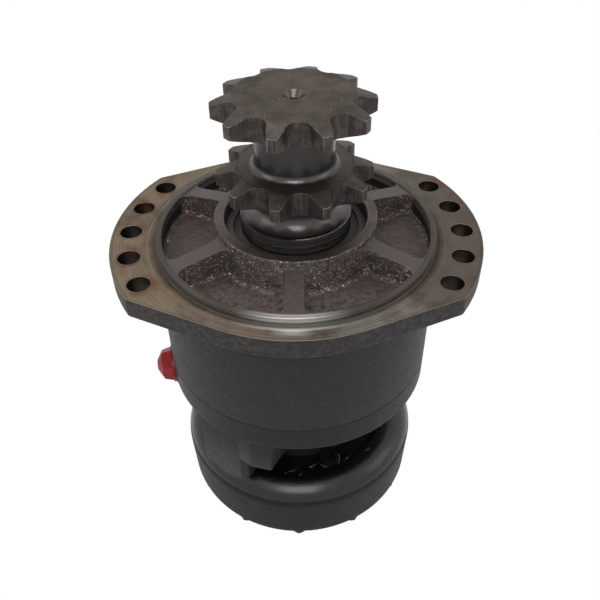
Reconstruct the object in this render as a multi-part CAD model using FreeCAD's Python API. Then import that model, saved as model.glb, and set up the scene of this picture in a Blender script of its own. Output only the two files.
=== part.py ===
import FreeCAD, Part
import math
import os
from FreeCAD import Vector

# A final drive motor for a chain-driven machine: a radial piston motor with a double
# sprocket on its shaft, a ribbed front housing with two bolting ears, a port housing
# and a drum-shaped multi-disc holding brake that the motor stands on.
# Sizes are in millimetres and degrees. The origin is the centre of the machined flange
# face, +Z runs up the shaft to the sprockets and +X through the middle hole of one ear.

# Clearances
seat_gap = 0.05
running_gap = 0.1
tool_reach = 2.0
edge_break = 0.8
pick_gap = 0.01

# Mounting flange and its two ears
flange_thickness = 17.0
flange_rim = 13.0
ear_rim = 14.5
ear_half_angle = 34.3
ear_corner_round = 5.0
flange_edge_round = 2.0
mount_circle_stand = 19.0
mount_hole_radius = 8.75
mount_hole_step = 15.0
holes_per_ear = 5

# Pilot ring, shaft boss and the cast pockets between them
pilot_step = 2.0
pilot_height = 6.0
pilot_wall = 4.4
relief_width = 8.8
relief_depth = 0.6
boss_wall = 8.0
boss_height = 17.5
boss_edge_round = 1.0
rib_count = 6
rib_width = 13.5
rib_inner_height = 11.0
rib_outer_drop = 1.0
pocket_floor_depth = 12.0
pocket_corner_round = 7.0
pocket_floor_round = 4.0

# Motor body below the flange
body_radius = 111.0
body_length = 109.0
body_foot_round = 3.0
cavity_top_depth = 30.0
cavity_round_share = 0.27
bearing_hub_wall = 11.0

# Chain sprockets, turned and milled from one piece with the shaft
chain_pitch = 31.75
chain_roller_share = 0.3
tooth_count = 10
tooth_phase = 5.0
seating_margin = 0.1
seating_half_angle = 65.0
flank_radius = 30.0
tooth_rise = 6.83
sprocket_thickness = 18.2
tooth_tip_drop = 4.4
bevel_start = 2.0
outer_sprocket_top = 113.8
sprocket_spacing = 53.0
sprocket_hub_radius = 29.6
sprocket_hub_round = 5.0
centre_hole_radius = 5.0
countersink_radius = 8.3
countersink_depth = 5.0

# Shaft below the sprockets
flare_reach = 11.5
flare_round = 11.0
collar_step = 2.5
collar_height = 21.6
spline_depth = 2.4
spline_teeth = 24
shaft_end_inset = 4.3
spline_root_share = 0.36
spline_tip_share = 0.20
brake_spline_major_radius = 14.0
brake_spline_minor_radius = 12.4
brake_spline_teeth = 12
brake_spline_depth = 32.0

# Tapered roller bearings, a facing pair on one web
bearing_bore_radius = 40.0
bearing_section = 15.0
bearing_width = 20.0
bearing_corner_round = 1.0
cup_width = 16.0
web_thickness = 8.0
web_reach = 9.5
roller_count = 22
bearing_roller_radius = 3.9
bearing_roller_length = 11.5
roller_stand = 7.7
roller_mid_height = 8.4
contact_angle = 12.0
roller_gap = 0.03
cone_rib_height = 8.6
cone_rib_width = 4.3
cone_lip_height = 4.6
cone_lip_width = 1.2
cage_thickness = 1.2
cage_margin = 1.6
cage_window_gap = 0.25

# Shaft seal in the mouth of the bore
seal_height = 12.0
seal_shoulder_gap = 8.0
seal_case_thickness = 1.6
seal_lip_thickness = 2.2
seal_lip_edge = 1.0
seal_web = 3.0

# Bearing nut and its lock washer
nut_wall = 10.0
nut_height = 9.0
nut_slot_count = 6
nut_slot_width = 8.0
nut_slot_depth = 4.0
nut_thread_step = 1.0
washer_thickness = 1.5

# Cylinder block, pistons, rollers and cam ring
block_skirt = 2.0
block_land = 4.5
block_top_gap = 2.5
block_sink = 3.0
block_wall = 10.0
piston_count = 8
piston_wall = 1.838
piston_length = 24.0
piston_skirt = 3.0
piston_ring_inset = 6.0
piston_ring_width = 2.0
piston_ring_depth = 1.2
piston_gap = 0.05
cam_roller_share = 2 / 3
cam_roller_end_gap = 1.68
cam_roller_gap = 1.0
oil_way_radius = 3.5
oil_way_inset = 4.0
cam_ring_inset = 16.0
cam_shoulder = 7.0
cam_ring_height = 34.0
cam_wall = 15.0
cam_lift = 4.0
cam_lobes = 6
cam_points_per_lobe = 12
cam_pin_count = 6
cam_pin_radius = 4.0

# Port housing: rim, neck, port block and drain boss
rim_height = 24.0
rim_edge_round = 2.5
rear_neck_round = 6.0
rear_neck_length = 73.0
neck_spigot_inset = 12.0
neck_spigot_height = 6.0
brake_shaft_passage_radius = 22.0
block_recess_margin = 3.0
block_recess_depth = 5.0
housing_screw_count = 8
housing_screw_inset = 8.5
housing_screw_phase = 22.5
port_block_angle = -119.4
port_face_step = 6.7
port_block_width = 67.5
port_block_gap = 13.0
port_block_round = 3.0
port_step_height = 28.0
port_step_width = 28.0
port_count = 2
port_radius = 10.0
port_depth = 22.0
port_margins = 34.0
port_face_inset = 15.5
port_first_drop = 18.5
spot_face_radius = 12.7
spot_face_depth = 0.8
drain_angle = 190.0
drain_drop = 19.0
drain_boss_radius = 18.0
drain_spot_depth = 1.0
drain_thread_radius = 9.0
drain_thread_depth = 16.0

# Oil distributor under the cylinder block
distributor_edge = 6.0
distributor_foot_radius = 40.0
distributor_step_height = 12.0
distributor_top_height = 13.0
distributor_tiers = 3
distributor_bore_radius = 19.0
distributor_float = 1.0
distributor_port_depth = 8.0
distributor_film = 0.05
ring_groove_width = 3.0
ring_groove_depth = 2.4
spring_floor_gap = 4.0
distributor_spring_thickness = 1.2
distributor_spring_inset = 2.0
distributor_spring_width = 12.0

# Holding brake: drum, cover, discs, piston and disc spring
dish_width = 14.0
bead_height = 6.0
bead_width = 25.0
bead_slope = 7.0
bead_round = 20.0
bead_inner_round = 6.0
drum_draft = 2.7
drum_foot_radius = 105.3
spring_space = 6.9
drum_top_wall = 14.0
piston_step = 6.0
piston_bore_inset = 6.5
steel_disc_thickness = 2.0
steel_disc_gap = 3.8
tab_count = 12
tab_width = 13.6
tab_reach = 4.0
friction_disc_count = 3
friction_disc_thickness = 2.6
friction_disc_inset = 4.0
lining_width = 19.8
hub_spline_depth = 2.2
hub_spline_teeth = 24
hub_ring_width = 7.0
hub_web_thickness = 6.0
hub_web_round = 2.0
hub_boss_radius = 26.0
hub_boss_height = 25.0
hub_top_gap = 1.0
brake_shaft_tail = 5.0
snap_ring_thickness = 1.2
snap_ring_radius = 17.0
snap_groove_depth = 0.8
piston_travel = 1.5
piston_height = 14.5
piston_land_height = 6.5
piston_plate_inner = 30.0
piston_recess_depth = 3.0
piston_seal_width = 2.4
piston_seal_depth = 2.0
brake_spring_inner = 45.0
brake_spring_inset = 9.0
brake_spring_thickness = 3.0
cover_rim_thickness = 4.0
cover_centre_thickness = 8.0
cover_centre_inset = 8.5
cover_centre_round = 1.5
cover_spigot_wall = 7.0
cover_bolt_count = 12
cover_bolt_inset = 8.8
brake_screw_count = 8
brake_screw_inset = 10.0
brake_seal_stand = 3.6
brake_seal_section = 1.2
brake_port_angle = -68.0
brake_port_inset = 3.0
brake_port_boss_radius = 10.5
brake_port_boss_height = 5.0
brake_port_boss_round = 2.0

# Fasteners and plugs: thread radius, head radius, head height, length under the head
housing_screw_radius = 5.0
housing_screw_head_radius = 8.0
housing_screw_head_height = 10.0
housing_screw_length = 30.0
brake_screw_radius = 5.0
brake_screw_head_radius = 8.0
brake_screw_head_height = 8.0
brake_screw_length = 22.0
screw_socket_across = 8.0
screw_socket_depth = 5.0
head_gap = 0.5
cover_bolt_radius = 4.0
cover_bolt_across = 13.0
cover_bolt_head_height = 5.3
cover_bolt_length = 20.0
plug_flange_radius = 16.5
plug_flange_thickness = 2.5
plug_foot_across = 27.0
plug_tip_across = 21.0
plug_hex_height = 13.0
plug_crown_radius = 4.5
brake_plug_radius = 6.0
brake_plug_head_radius = 8.0
brake_plug_head_height = 4.0
brake_plug_length = 8.0
brake_plug_socket_across = 6.0

# Radii that follow from the body
mount_circle_radius = body_radius + mount_circle_stand
ear_radius = mount_circle_radius + ear_rim
flange_middle_radius = body_radius + flange_rim
pilot_radius = body_radius - pilot_step
pilot_inner_radius = pilot_radius - pilot_wall
housing_screw_circle = body_radius - housing_screw_inset
port_block_face = body_radius - port_face_step
cam_outer_radius = body_radius - cam_ring_inset
cam_mean_radius = cam_outer_radius - cam_wall
cam_reach = cam_mean_radius - cam_lift - cam_roller_gap
bore_share = math.sin(math.pi / piston_count)
bore_room = (cam_reach + piston_skirt - piston_length) * bore_share - piston_wall
piston_radius = bore_room / (1 + cam_roller_share * bore_share)
cam_roller_radius = piston_radius * cam_roller_share
cam_roller_half = math.sqrt(piston_radius ** 2 - cam_roller_radius ** 2) - cam_roller_end_gap
cam_roller_centre = cam_reach - cam_roller_radius
piston_outer_end = cam_roller_centre + piston_skirt
piston_inner_end = piston_outer_end - piston_length
block_radius = piston_outer_end + block_skirt
oil_way_circle = piston_inner_end + oil_way_inset
distributor_radius = oil_way_circle + distributor_edge
distributor_step = (distributor_radius - distributor_foot_radius) / (distributor_tiers - 1)
distributor_spring_outer = distributor_foot_radius - distributor_spring_inset
distributor_spring_inner = distributor_spring_outer - distributor_spring_width
spline_major_radius = piston_inner_end - block_wall
spline_minor_radius = spline_major_radius - spline_depth

# Radii that follow from the bearing's bore
bearing_outer_radius = bearing_bore_radius + bearing_section
roller_pitch_radius = bearing_bore_radius + roller_stand
cone_rib_radius = bearing_bore_radius + cone_rib_height
cone_lip_radius = bearing_bore_radius + cone_lip_height
web_radius = bearing_bore_radius + web_reach
nut_radius = bearing_bore_radius + nut_wall
nut_thread_radius = bearing_bore_radius - nut_thread_step
cup_seat_radius = bearing_outer_radius + seat_gap
boss_radius = bearing_outer_radius + boss_wall
bearing_hub_radius = bearing_outer_radius + bearing_hub_wall
cavity_radius = cam_outer_radius - cam_shoulder
cavity_round = (cavity_radius - bearing_hub_radius) * cavity_round_share
collar_radius = bearing_bore_radius + collar_step
flare_throat_radius = collar_radius - flare_reach

# Sprocket radii that follow from the chain
pitch_radius = chain_pitch / (2 * math.sin(math.pi / tooth_count))
seating_radius = chain_pitch * chain_roller_share + seating_margin
root_radius = pitch_radius - seating_radius
tip_radius = pitch_radius + tooth_rise

# Brake radii that follow from the drum's foot
drum_top_radius = drum_foot_radius + drum_draft
bead_inner_radius = drum_top_radius - bead_width
brake_dish_radius = bead_inner_radius - bead_slope
brake_port_circle = brake_dish_radius - brake_port_inset
rear_neck_radius = brake_dish_radius - dish_width
brake_screw_circle = rear_neck_radius - brake_screw_inset
neck_spigot_radius = brake_screw_circle - neck_spigot_inset
brake_seal_radius = neck_spigot_radius + brake_seal_stand
cover_radius = drum_foot_radius - edge_break
cover_bolt_circle = drum_foot_radius - cover_bolt_inset
cover_centre_radius = cover_bolt_circle - cover_centre_inset
piston_bore_radius = cover_bolt_circle - piston_bore_inset
brake_spring_outer = piston_bore_radius - brake_spring_inset
disc_bore_radius = piston_bore_radius - piston_step
friction_disc_outer = disc_bore_radius - friction_disc_inset
hub_spline_major_radius = friction_disc_outer - lining_width
hub_spline_minor_radius = hub_spline_major_radius - hub_spline_depth
steel_disc_inner = hub_spline_major_radius + steel_disc_gap

# Heights that follow from the stack, from the seam upwards and then downwards
body_bottom = -body_length
block_bottom = body_bottom - block_sink
piston_level = block_bottom + block_land + piston_radius
block_top = piston_level + piston_radius + block_land
nut_top = block_top + block_top_gap + nut_height
nut_seat = nut_top + washer_thickness
web_bottom = nut_seat + bearing_width
web_top = web_bottom + web_thickness
cone_shoulder = web_top + bearing_width
seal_bottom = cone_shoulder + seal_shoulder_gap
seal_top = seal_bottom + seal_height
inner_sprocket_top = outer_sprocket_top - sprocket_spacing
rim_bottom = body_bottom - rim_height
drain_height = body_bottom - drain_drop
port_block_height = rear_neck_length - port_block_gap
port_spacing = port_block_height - port_margins
drum_top = rim_bottom - rear_neck_length
stack_top = drum_top - drum_top_wall
hub_top = stack_top - hub_top_gap
steel_disc_count = friction_disc_count + 1
disc_pair = steel_disc_thickness + friction_disc_thickness + 2 * running_gap
stack_bottom = stack_top - running_gap - friction_disc_count * disc_pair - steel_disc_thickness
piston_top = stack_bottom - running_gap
drum_bottom = piston_top - piston_height - spring_space


def polar(radius, angle, height=0.0):
    turn = math.radians(angle)
    return Vector(radius * math.cos(turn), radius * math.sin(turn), height)


# A closed outline of straight sides; a corner with a third value is rounded to that radius
def outline(corners, to_space):
    starts = []
    middles = []
    ends = []
    for index, corner in enumerate(corners):
        here = Vector(corner[0], corner[1], 0)
        before = corners[index - 1]
        after = corners[(index + 1) % len(corners)]
        inward = (here - Vector(before[0], before[1], 0)).normalize()
        outward = (Vector(after[0], after[1], 0) - here).normalize()
        radius = corner[2] if len(corner) > 2 else 0.0
        half_turn = inward.getAngle(outward) / 2
        setback = radius * math.tan(half_turn)
        bisector = outward - inward
        starts.append(here - inward * setback)
        ends.append(here + outward * setback)
        if radius > 0:
            bisector.normalize()
            middles.append(here + bisector * (radius / math.cos(half_turn) - radius))
        else:
            middles.append(None)
    edges = []
    for index, start in enumerate(starts):
        leaving = ends[index - 1]
        if (start - leaving).Length > 1e-6:
            edges.append(Part.LineSegment(to_space(leaving), to_space(start)).toShape())
        if middles[index] is not None:
            arc = Part.Arc(to_space(start), to_space(middles[index]), to_space(ends[index]))
            edges.append(arc.toShape())
    return Part.Wire(Part.__sortEdges__(edges))


def upright(point):
    return Vector(point.x, 0, point.y)


# A solid of revolution about the shaft from its half section (radius, height, rounding)
def turned(corners):
    face = Part.Face(outline(corners, upright))
    return face.revolve(Vector(0, 0, 0), Vector(0, 0, 1), 360)


def disc(radius, bottom, top, centre=Vector(0, 0, 0)):
    return Part.makeCylinder(radius, top - bottom, centre + Vector(0, 0, bottom))


def ring(outer_radius, inner_radius, bottom, top):
    return disc(outer_radius, bottom, top).cut(disc(inner_radius, bottom, top))


# A round bar from a point along a direction
def bar(radius, length, start, direction):
    return Part.makeCylinder(radius, length, start, direction)


def spun(shape, angle):
    copy = shape.copy()
    copy.rotate(Vector(0, 0, 0), Vector(0, 0, 1), angle)
    return copy


# Copies of one piece spaced evenly round the shaft
def around(shape, count, first=0.0):
    return [spun(shape, first + index * 360.0 / count) for index in range(count)]


def cut_all(solid, tools):
    return solid.cut(Part.makeCompound(tools)).removeSplitter()


def joined(solid, others):
    return solid.fuse(others).removeSplitter()


def save(name, shape):
    shape.exportStep("parts/" + name + ".step")


def hexagon_outline(across, height, centre=Vector(0, 0, 0)):
    corner = across / 2 / math.cos(math.radians(30))
    return Part.makePolygon([polar(corner, 60 * index, height) + centre for index in range(7)])


def hexagon(across, bottom, top, centre=Vector(0, 0, 0)):
    return Part.Face(hexagon_outline(across, bottom, centre)).extrude(Vector(0, 0, top - bottom))


# A shaft section with straight-sided teeth
def splined(minor_radius, major_radius, teeth, bottom, top):
    pitch = 360.0 / teeth
    points = []
    for index in range(teeth):
        middle = index * pitch
        points.append(polar(minor_radius, middle - spline_root_share * pitch, bottom))
        points.append(polar(major_radius, middle - spline_tip_share * pitch, bottom))
        points.append(polar(major_radius, middle + spline_tip_share * pitch, bottom))
        points.append(polar(minor_radius, middle + spline_root_share * pitch, bottom))
    face = Part.Face(Part.makePolygon(points + points[:1]))
    return face.extrude(Vector(0, 0, top - bottom))


# The hole that a splined section slides into
def spline_hole(minor_radius, major_radius, teeth, bottom, top):
    wide = running_gap
    return splined(minor_radius + wide, major_radius + wide, teeth, bottom, top)


# Front housing

def flange_plate():
    tangent_turn = math.degrees(math.acos(flange_middle_radius / ear_radius))
    tangent_angle = ear_half_angle + tangent_turn
    edges = []
    for side in (0.0, 180.0):
        ear_end = polar(ear_radius, side + ear_half_angle)
        ear = Part.Arc(polar(ear_radius, side - ear_half_angle), polar(ear_radius, side), ear_end)
        edges.append(ear.toShape())
        touch = polar(flange_middle_radius, side + tangent_angle)
        edges.append(Part.LineSegment(ear_end, touch).toShape())
        leave = polar(flange_middle_radius, side + 180 - tangent_angle)
        top = polar(flange_middle_radius, side + 90)
        edges.append(Part.Arc(touch, top, leave).toShape())
        next_ear = polar(ear_radius, side + 180 - ear_half_angle)
        edges.append(Part.LineSegment(leave, next_ear).toShape())
    face = Part.Face(Part.Wire(Part.__sortEdges__(edges)))
    solid = face.extrude(Vector(0, 0, -flange_thickness))
    corners = []
    for edge in solid.Edges:
        outline_point = edge.CenterOfMass
        reach = math.hypot(outline_point.x, outline_point.y)
        if edge.BoundBox.ZLength > flange_thickness / 2 and reach > ear_radius - pick_gap:
            corners.append(edge)
    solid = solid.makeFillet(ear_corner_round, corners)
    lower = [edge for edge in solid.Edges if edge.BoundBox.ZMax < pick_gap - flange_thickness]
    return solid.makeFillet(flange_edge_round, lower)


# One cast pocket between two ribs, as the solid that it removes
def pocket():
    half_pitch = 180.0 / rib_count

    def side_angle(radius):
        return half_pitch - math.degrees(math.asin(rib_width / 2 / radius))

    inner_side = side_angle(boss_radius)
    outer_side = side_angle(pilot_inner_radius)
    inner_arc = Part.Arc(
        polar(boss_radius, inner_side),
        polar(boss_radius, 0),
        polar(boss_radius, -inner_side),
    )
    outer_arc = Part.Arc(
        polar(pilot_inner_radius, -outer_side),
        polar(pilot_inner_radius, 0),
        polar(pilot_inner_radius, outer_side),
    )
    right = Part.LineSegment(polar(boss_radius, -inner_side), polar(pilot_inner_radius, -outer_side))
    left = Part.LineSegment(polar(pilot_inner_radius, outer_side), polar(boss_radius, inner_side))
    wire = Part.Wire([inner_arc.toShape(), right.toShape(), outer_arc.toShape(), left.toShape()])
    height = boss_height + tool_reach + pocket_floor_depth
    solid = Part.Face(wire).extrude(Vector(0, 0, height))
    solid.translate(Vector(0, 0, -pocket_floor_depth))
    walls = [edge for edge in solid.Edges if edge.BoundBox.ZLength > height / 2]
    solid = solid.makeFillet(pocket_corner_round, walls)
    floor = [edge for edge in solid.Edges if edge.BoundBox.ZMax < pick_gap - pocket_floor_depth]
    return solid.makeFillet(pocket_floor_round, floor)


def mount_holes():
    holes = []
    half = (holes_per_ear - 1) / 2
    for side in (0.0, 180.0):
        for index in range(holes_per_ear):
            centre = polar(mount_circle_radius, side + (index - half) * mount_hole_step)
            holes.append(disc(mount_hole_radius, -flange_thickness - tool_reach, tool_reach, centre))
    return holes


def cam_pin(extra):
    top = body_bottom + cam_ring_height
    return disc(cam_pin_radius + extra, body_bottom, top, polar(cam_outer_radius, 0))


# Height of the face that the screws' heads pull up against
def housing_screw_seat():
    return rim_bottom + housing_screw_head_height + head_gap


def brake_screw_seat():
    return stack_top + brake_screw_head_height + head_gap


def housing_screw_places(shape):
    return around(shape, housing_screw_count, port_block_angle + housing_screw_phase)


def front_housing():
    mid_flange = -flange_thickness / 2
    casting = turned([
        (0, boss_height),
        (boss_radius, boss_height, boss_edge_round),
        (boss_radius, rib_inner_height),
        (pilot_inner_radius, pilot_height - rib_outer_drop),
        (pilot_inner_radius, pilot_height),
        (pilot_radius, pilot_height, edge_break),
        (pilot_radius, mid_flange),
        (body_radius, mid_flange),
        (body_radius, body_bottom, edge_break),
        (0, body_bottom),
    ])
    casting = joined(casting, [flange_plate()])
    foot = []
    for edge in casting.Edges:
        if isinstance(edge.Curve, Part.Circle) and abs(edge.Curve.Radius - body_radius) < pick_gap:
            if abs(edge.Curve.Center.z + flange_thickness) < pick_gap:
                foot.append(edge)
    casting = casting.makeFillet(body_foot_round, foot)
    relief = ring(pilot_radius + relief_width, pilot_radius, -relief_depth, tool_reach)
    cavity = turned([
        (0, boss_height + tool_reach),
        (cup_seat_radius + edge_break + tool_reach, boss_height + tool_reach),
        (cup_seat_radius, boss_height - edge_break),
        (cup_seat_radius, web_top),
        (web_radius, web_top),
        (web_radius, web_bottom),
        (cup_seat_radius, web_bottom),
        (cup_seat_radius, nut_seat),
        (bearing_hub_radius, nut_seat),
        (bearing_hub_radius, -cavity_top_depth, cavity_round),
        (cavity_radius, -cavity_top_depth, cavity_round),
        (cavity_radius, body_bottom + cam_ring_height),
        (cam_outer_radius + seat_gap, body_bottom + cam_ring_height),
        (cam_outer_radius + seat_gap, body_bottom - tool_reach),
        (0, body_bottom - tool_reach),
    ])
    screw_hole = disc(
        housing_screw_radius + seat_gap,
        body_bottom - tool_reach,
        housing_screw_seat() + housing_screw_length + tool_reach,
        polar(housing_screw_circle, 0),
    )
    tools = [relief, cavity]
    tools += around(pocket(), rib_count)
    tools += mount_holes()
    tools += housing_screw_places(screw_hole)
    tools += around(cam_pin(seat_gap), cam_pin_count)
    return cut_all(casting, tools)


# Sprocket shaft

# The crossing of two circles, the one further round from the X axis of the first
def circle_crossing(radius, other_centre, other_radius):
    reach = other_centre.Length
    along = (radius ** 2 - other_radius ** 2 + reach ** 2) / (2 * reach)
    aside = math.sqrt(radius ** 2 - along ** 2)
    toward = Vector(other_centre).normalize()
    across = Vector(toward.y, -toward.x, 0)
    return toward * along + across * aside


# Tooth form of a roller chain sprocket: seating arcs, convex flanks and a short tip land
def sprocket_outline():
    pitch = 360.0 / tooth_count
    valley = Vector(pitch_radius, 0, 0)
    turn = math.radians(seating_half_angle)
    out = Vector(-math.cos(turn), math.sin(turn), 0)
    seat_end = valley + out * seating_radius
    flank_centre = valley + out * (seating_radius + flank_radius)
    tip_end = circle_crossing(tip_radius, flank_centre, flank_radius)
    flank_middle = flank_centre + ((seat_end + tip_end) * 0.5 - flank_centre).normalize() * flank_radius
    edges = []
    for index in range(tooth_count):
        angle = tooth_phase + (index + 0.5) * pitch

        def placed(point, side=1):
            return spun(Part.Vertex(Vector(point.x, side * point.y, 0)), angle).Point

        seat = Part.Arc(placed(seat_end, -1), placed(Vector(root_radius, 0, 0)), placed(seat_end))
        near_flank = Part.Arc(placed(tip_end, -1), placed(flank_middle, -1), placed(seat_end, -1))
        far_flank = Part.Arc(placed(seat_end), placed(flank_middle), placed(tip_end))
        edges += [near_flank.toShape(), seat.toShape(), far_flank.toShape()]
        tip_middle = polar(tip_radius, angle + pitch / 2)
        next_tip = spun(Part.Vertex(Vector(tip_end.x, -tip_end.y, 0)), angle + pitch).Point
        edges.append(Part.Arc(placed(tip_end), tip_middle, next_tip).toShape())
    return Part.Wire(Part.__sortEdges__(edges))


# A toothed disc whose teeth are bevelled on both faces towards their tips
def sprocket(top):
    bottom = top - sprocket_thickness
    teeth = Part.Face(sprocket_outline()).extrude(Vector(0, 0, sprocket_thickness))
    teeth.translate(Vector(0, 0, bottom))
    bevel = turned([
        (0, top),
        (root_radius + bevel_start, top),
        (tip_radius, top - tooth_tip_drop),
        (tip_radius + tool_reach, top - tooth_tip_drop),
        (tip_radius + tool_reach, bottom + tooth_tip_drop),
        (tip_radius, bottom + tooth_tip_drop),
        (root_radius + bevel_start, bottom),
        (0, bottom),
    ])
    return teeth.common(bevel)


def sprocket_shaft():
    outer_bottom = outer_sprocket_top - sprocket_thickness
    inner_bottom = inner_sprocket_top - sprocket_thickness
    core_radius = root_radius - edge_break
    shaft_end = block_bottom + shaft_end_inset
    socket_top = block_bottom + brake_spline_depth + seat_gap + running_gap
    thread_end = nut_top - nut_height
    body = turned([
        (0, outer_sprocket_top),
        (core_radius, outer_sprocket_top),
        (core_radius, outer_bottom),
        (sprocket_hub_radius, outer_bottom, sprocket_hub_round),
        (sprocket_hub_radius, inner_sprocket_top, sprocket_hub_round),
        (core_radius, inner_sprocket_top),
        (core_radius, inner_bottom),
        (flare_throat_radius, inner_bottom),
        (flare_throat_radius, collar_height, flare_round),
        (collar_radius, collar_height, edge_break),
        (collar_radius, cone_shoulder),
        (bearing_bore_radius, cone_shoulder),
        (bearing_bore_radius, nut_seat),
        (nut_thread_radius, nut_seat),
        (nut_thread_radius, thread_end),
        (spline_minor_radius, thread_end),
        (spline_minor_radius, shaft_end),
        (0, shaft_end),
    ])
    teeth = splined(spline_minor_radius, spline_major_radius, spline_teeth, shaft_end, thread_end)
    shaft = joined(body, [sprocket(outer_sprocket_top), sprocket(inner_sprocket_top), teeth])
    centre_hole = disc(centre_hole_radius, outer_bottom, outer_sprocket_top + tool_reach)
    sink_floor = outer_sprocket_top - countersink_depth
    sink_start = Vector(0, 0, sink_floor)
    sink = Part.makeCone(centre_hole_radius, countersink_radius, countersink_depth, sink_start)
    socket = spline_hole(
        brake_spline_minor_radius,
        brake_spline_major_radius,
        brake_spline_teeth,
        shaft_end - tool_reach,
        socket_top,
    )
    return cut_all(shaft, [centre_hole, sink, socket])


# Tapered roller bearing, drawn with the back of its cup at height 0 and its wide end up

apex = roller_mid_height - roller_pitch_radius / math.tan(math.radians(contact_angle))
roller_distance = roller_pitch_radius / math.sin(math.radians(contact_angle))
roller_taper = math.degrees(math.atan(bearing_roller_radius / roller_distance))


def race_radius(height, angle):
    return (height - apex) * math.tan(math.radians(angle))


def bearing_cup():
    race = contact_angle + roller_taper
    return turned([
        (bearing_outer_radius, 0, bearing_corner_round),
        (bearing_outer_radius, cup_width),
        (race_radius(cup_width, race) + roller_gap, cup_width),
        (race_radius(0, race) + roller_gap, 0),
    ])


def bearing_cone():
    race = contact_angle - roller_taper
    lip_bottom = roller_gap
    lip_top = lip_bottom + cone_lip_width
    rib_bottom = bearing_width - cone_rib_width
    bore = bearing_bore_radius + roller_gap
    return turned([
        (bore, lip_bottom),
        (cone_lip_radius, lip_bottom),
        (cone_lip_radius, lip_top),
        (race_radius(lip_top, race) - roller_gap, lip_top),
        (race_radius(rib_bottom, race) - roller_gap, rib_bottom),
        (cone_rib_radius, rib_bottom),
        (cone_rib_radius, bearing_width),
        (bore, bearing_width),
    ])


def bearing_roller(extra):
    half_length = bearing_roller_length / 2
    taper = math.tan(math.radians(roller_taper))
    small = (roller_distance - half_length) * taper + extra
    large = (roller_distance + half_length) * taper + extra
    turn = math.radians(contact_angle)
    axis = Vector(math.sin(turn), 0, math.cos(turn))
    middle = Vector(roller_pitch_radius, 0, roller_mid_height)
    length = bearing_roller_length + 2 * extra
    return Part.makeCone(small, large, length, middle - axis * (half_length + extra), axis)


def bearing_rollers():
    return Part.makeCompound(around(bearing_roller(0), roller_count))


def bearing_cage():
    bottom = cone_lip_width + cage_margin / 2
    top = cup_width + cage_margin / 2
    inner = race_radius(bottom, contact_angle) - cage_thickness / 2
    outer = race_radius(top, contact_angle) - cage_thickness / 2
    band = turned([
        (inner, bottom),
        (inner + cage_thickness, bottom),
        (outer + cage_thickness, top),
        (outer, top),
    ])
    return cut_all(band, around(bearing_roller(cage_window_gap), roller_count))


def outer_bearing(shape):
    shape.translate(Vector(0, 0, web_top))
    return shape


def inner_bearing(shape):
    shape.rotate(Vector(0, 0, 0), Vector(1, 0, 0), 180)
    shape.translate(Vector(0, 0, web_bottom))
    return shape


# Shaft seal: a steel case pressed into the bore and a rubber lip on the collar

def seal_sides():
    outside = cup_seat_radius - seat_gap / 2
    return outside, (outside + collar_radius) / 2


def seal_case():
    outside, middle = seal_sides()
    under = seal_top - seal_case_thickness
    return turned([
        (outside, seal_bottom),
        (outside, seal_top, edge_break),
        (middle, seal_top),
        (middle, under),
        (outside - seal_case_thickness, under),
        (outside - seal_case_thickness, seal_bottom),
    ])


def shaft_seal():
    outside, middle = seal_sides()
    outside -= seal_case_thickness
    under = seal_top - seal_case_thickness
    lip = collar_radius + seat_gap
    back = lip + seal_lip_thickness
    return turned([
        (outside, under),
        (middle, under),
        (lip, seal_top),
        (lip, seal_top - seal_lip_edge),
        (back, under - seal_lip_edge),
        (back, under - seal_web),
        (lip, seal_bottom + 2 * seal_lip_edge),
        (lip, seal_bottom + seal_lip_edge),
        (back, seal_bottom),
        (middle, seal_bottom + seal_lip_edge),
        (middle, under - seal_web),
        (outside, under - seal_web),
    ])


def bearing_nut():
    bottom = nut_top - nut_height
    nut = ring(nut_radius, nut_thread_radius + seat_gap, bottom, nut_top)
    slot = Part.makeBox(
        nut_slot_depth + tool_reach,
        nut_slot_width,
        nut_height,
        Vector(nut_radius - nut_slot_depth, -nut_slot_width / 2, bottom),
    )
    return cut_all(nut, around(slot, nut_slot_count))


def lock_washer():
    return ring(nut_radius - nut_slot_depth, nut_thread_radius + seat_gap, nut_top, nut_seat)


# Cylinder block, pistons and cam

def cylinder_block():
    block = disc(block_radius, block_bottom, block_top)
    tools = [spline_hole(
        spline_minor_radius,
        spline_major_radius,
        spline_teeth,
        block_bottom - tool_reach,
        block_top + tool_reach,
    )]
    length = block_radius - piston_inner_end + tool_reach
    start = Vector(piston_inner_end - piston_gap, 0, piston_level)
    tools += around(bar(piston_radius + piston_gap, length, start, Vector(1, 0, 0)), piston_count)
    way = disc(oil_way_radius, block_bottom - tool_reach, piston_level, polar(oil_way_circle, 0))
    tools += around(way, piston_count)
    return cut_all(block, tools)


# The pistons rest at the bottom of their bores, where the rollers clear the cam all round
def pistons():
    along = Vector(1, 0, 0)
    piston = bar(piston_radius, piston_length, Vector(piston_inner_end, 0, piston_level), along)
    half = cam_roller_half + running_gap
    seat_radius = cam_roller_radius + piston_gap
    seat = disc(seat_radius, piston_level - half, piston_level + half, polar(cam_roller_centre, 0))
    groove_start = Vector(piston_inner_end + piston_ring_inset, 0, piston_level)
    groove = bar(piston_radius + tool_reach, piston_ring_width, groove_start, along)
    groove = groove.cut(bar(piston_radius - piston_ring_depth, piston_ring_width, groove_start, along))
    return Part.makeCompound(around(cut_all(piston, [seat, groove]), piston_count))


def piston_rings():
    along = Vector(1, 0, 0)
    start = Vector(piston_inner_end + piston_ring_inset + seat_gap, 0, piston_level)
    width = piston_ring_width - 2 * seat_gap
    band = bar(piston_radius, width, start, along)
    band = band.cut(bar(piston_radius - piston_ring_depth + seat_gap, width, start, along))
    return Part.makeCompound(around(band, piston_count))


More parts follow.
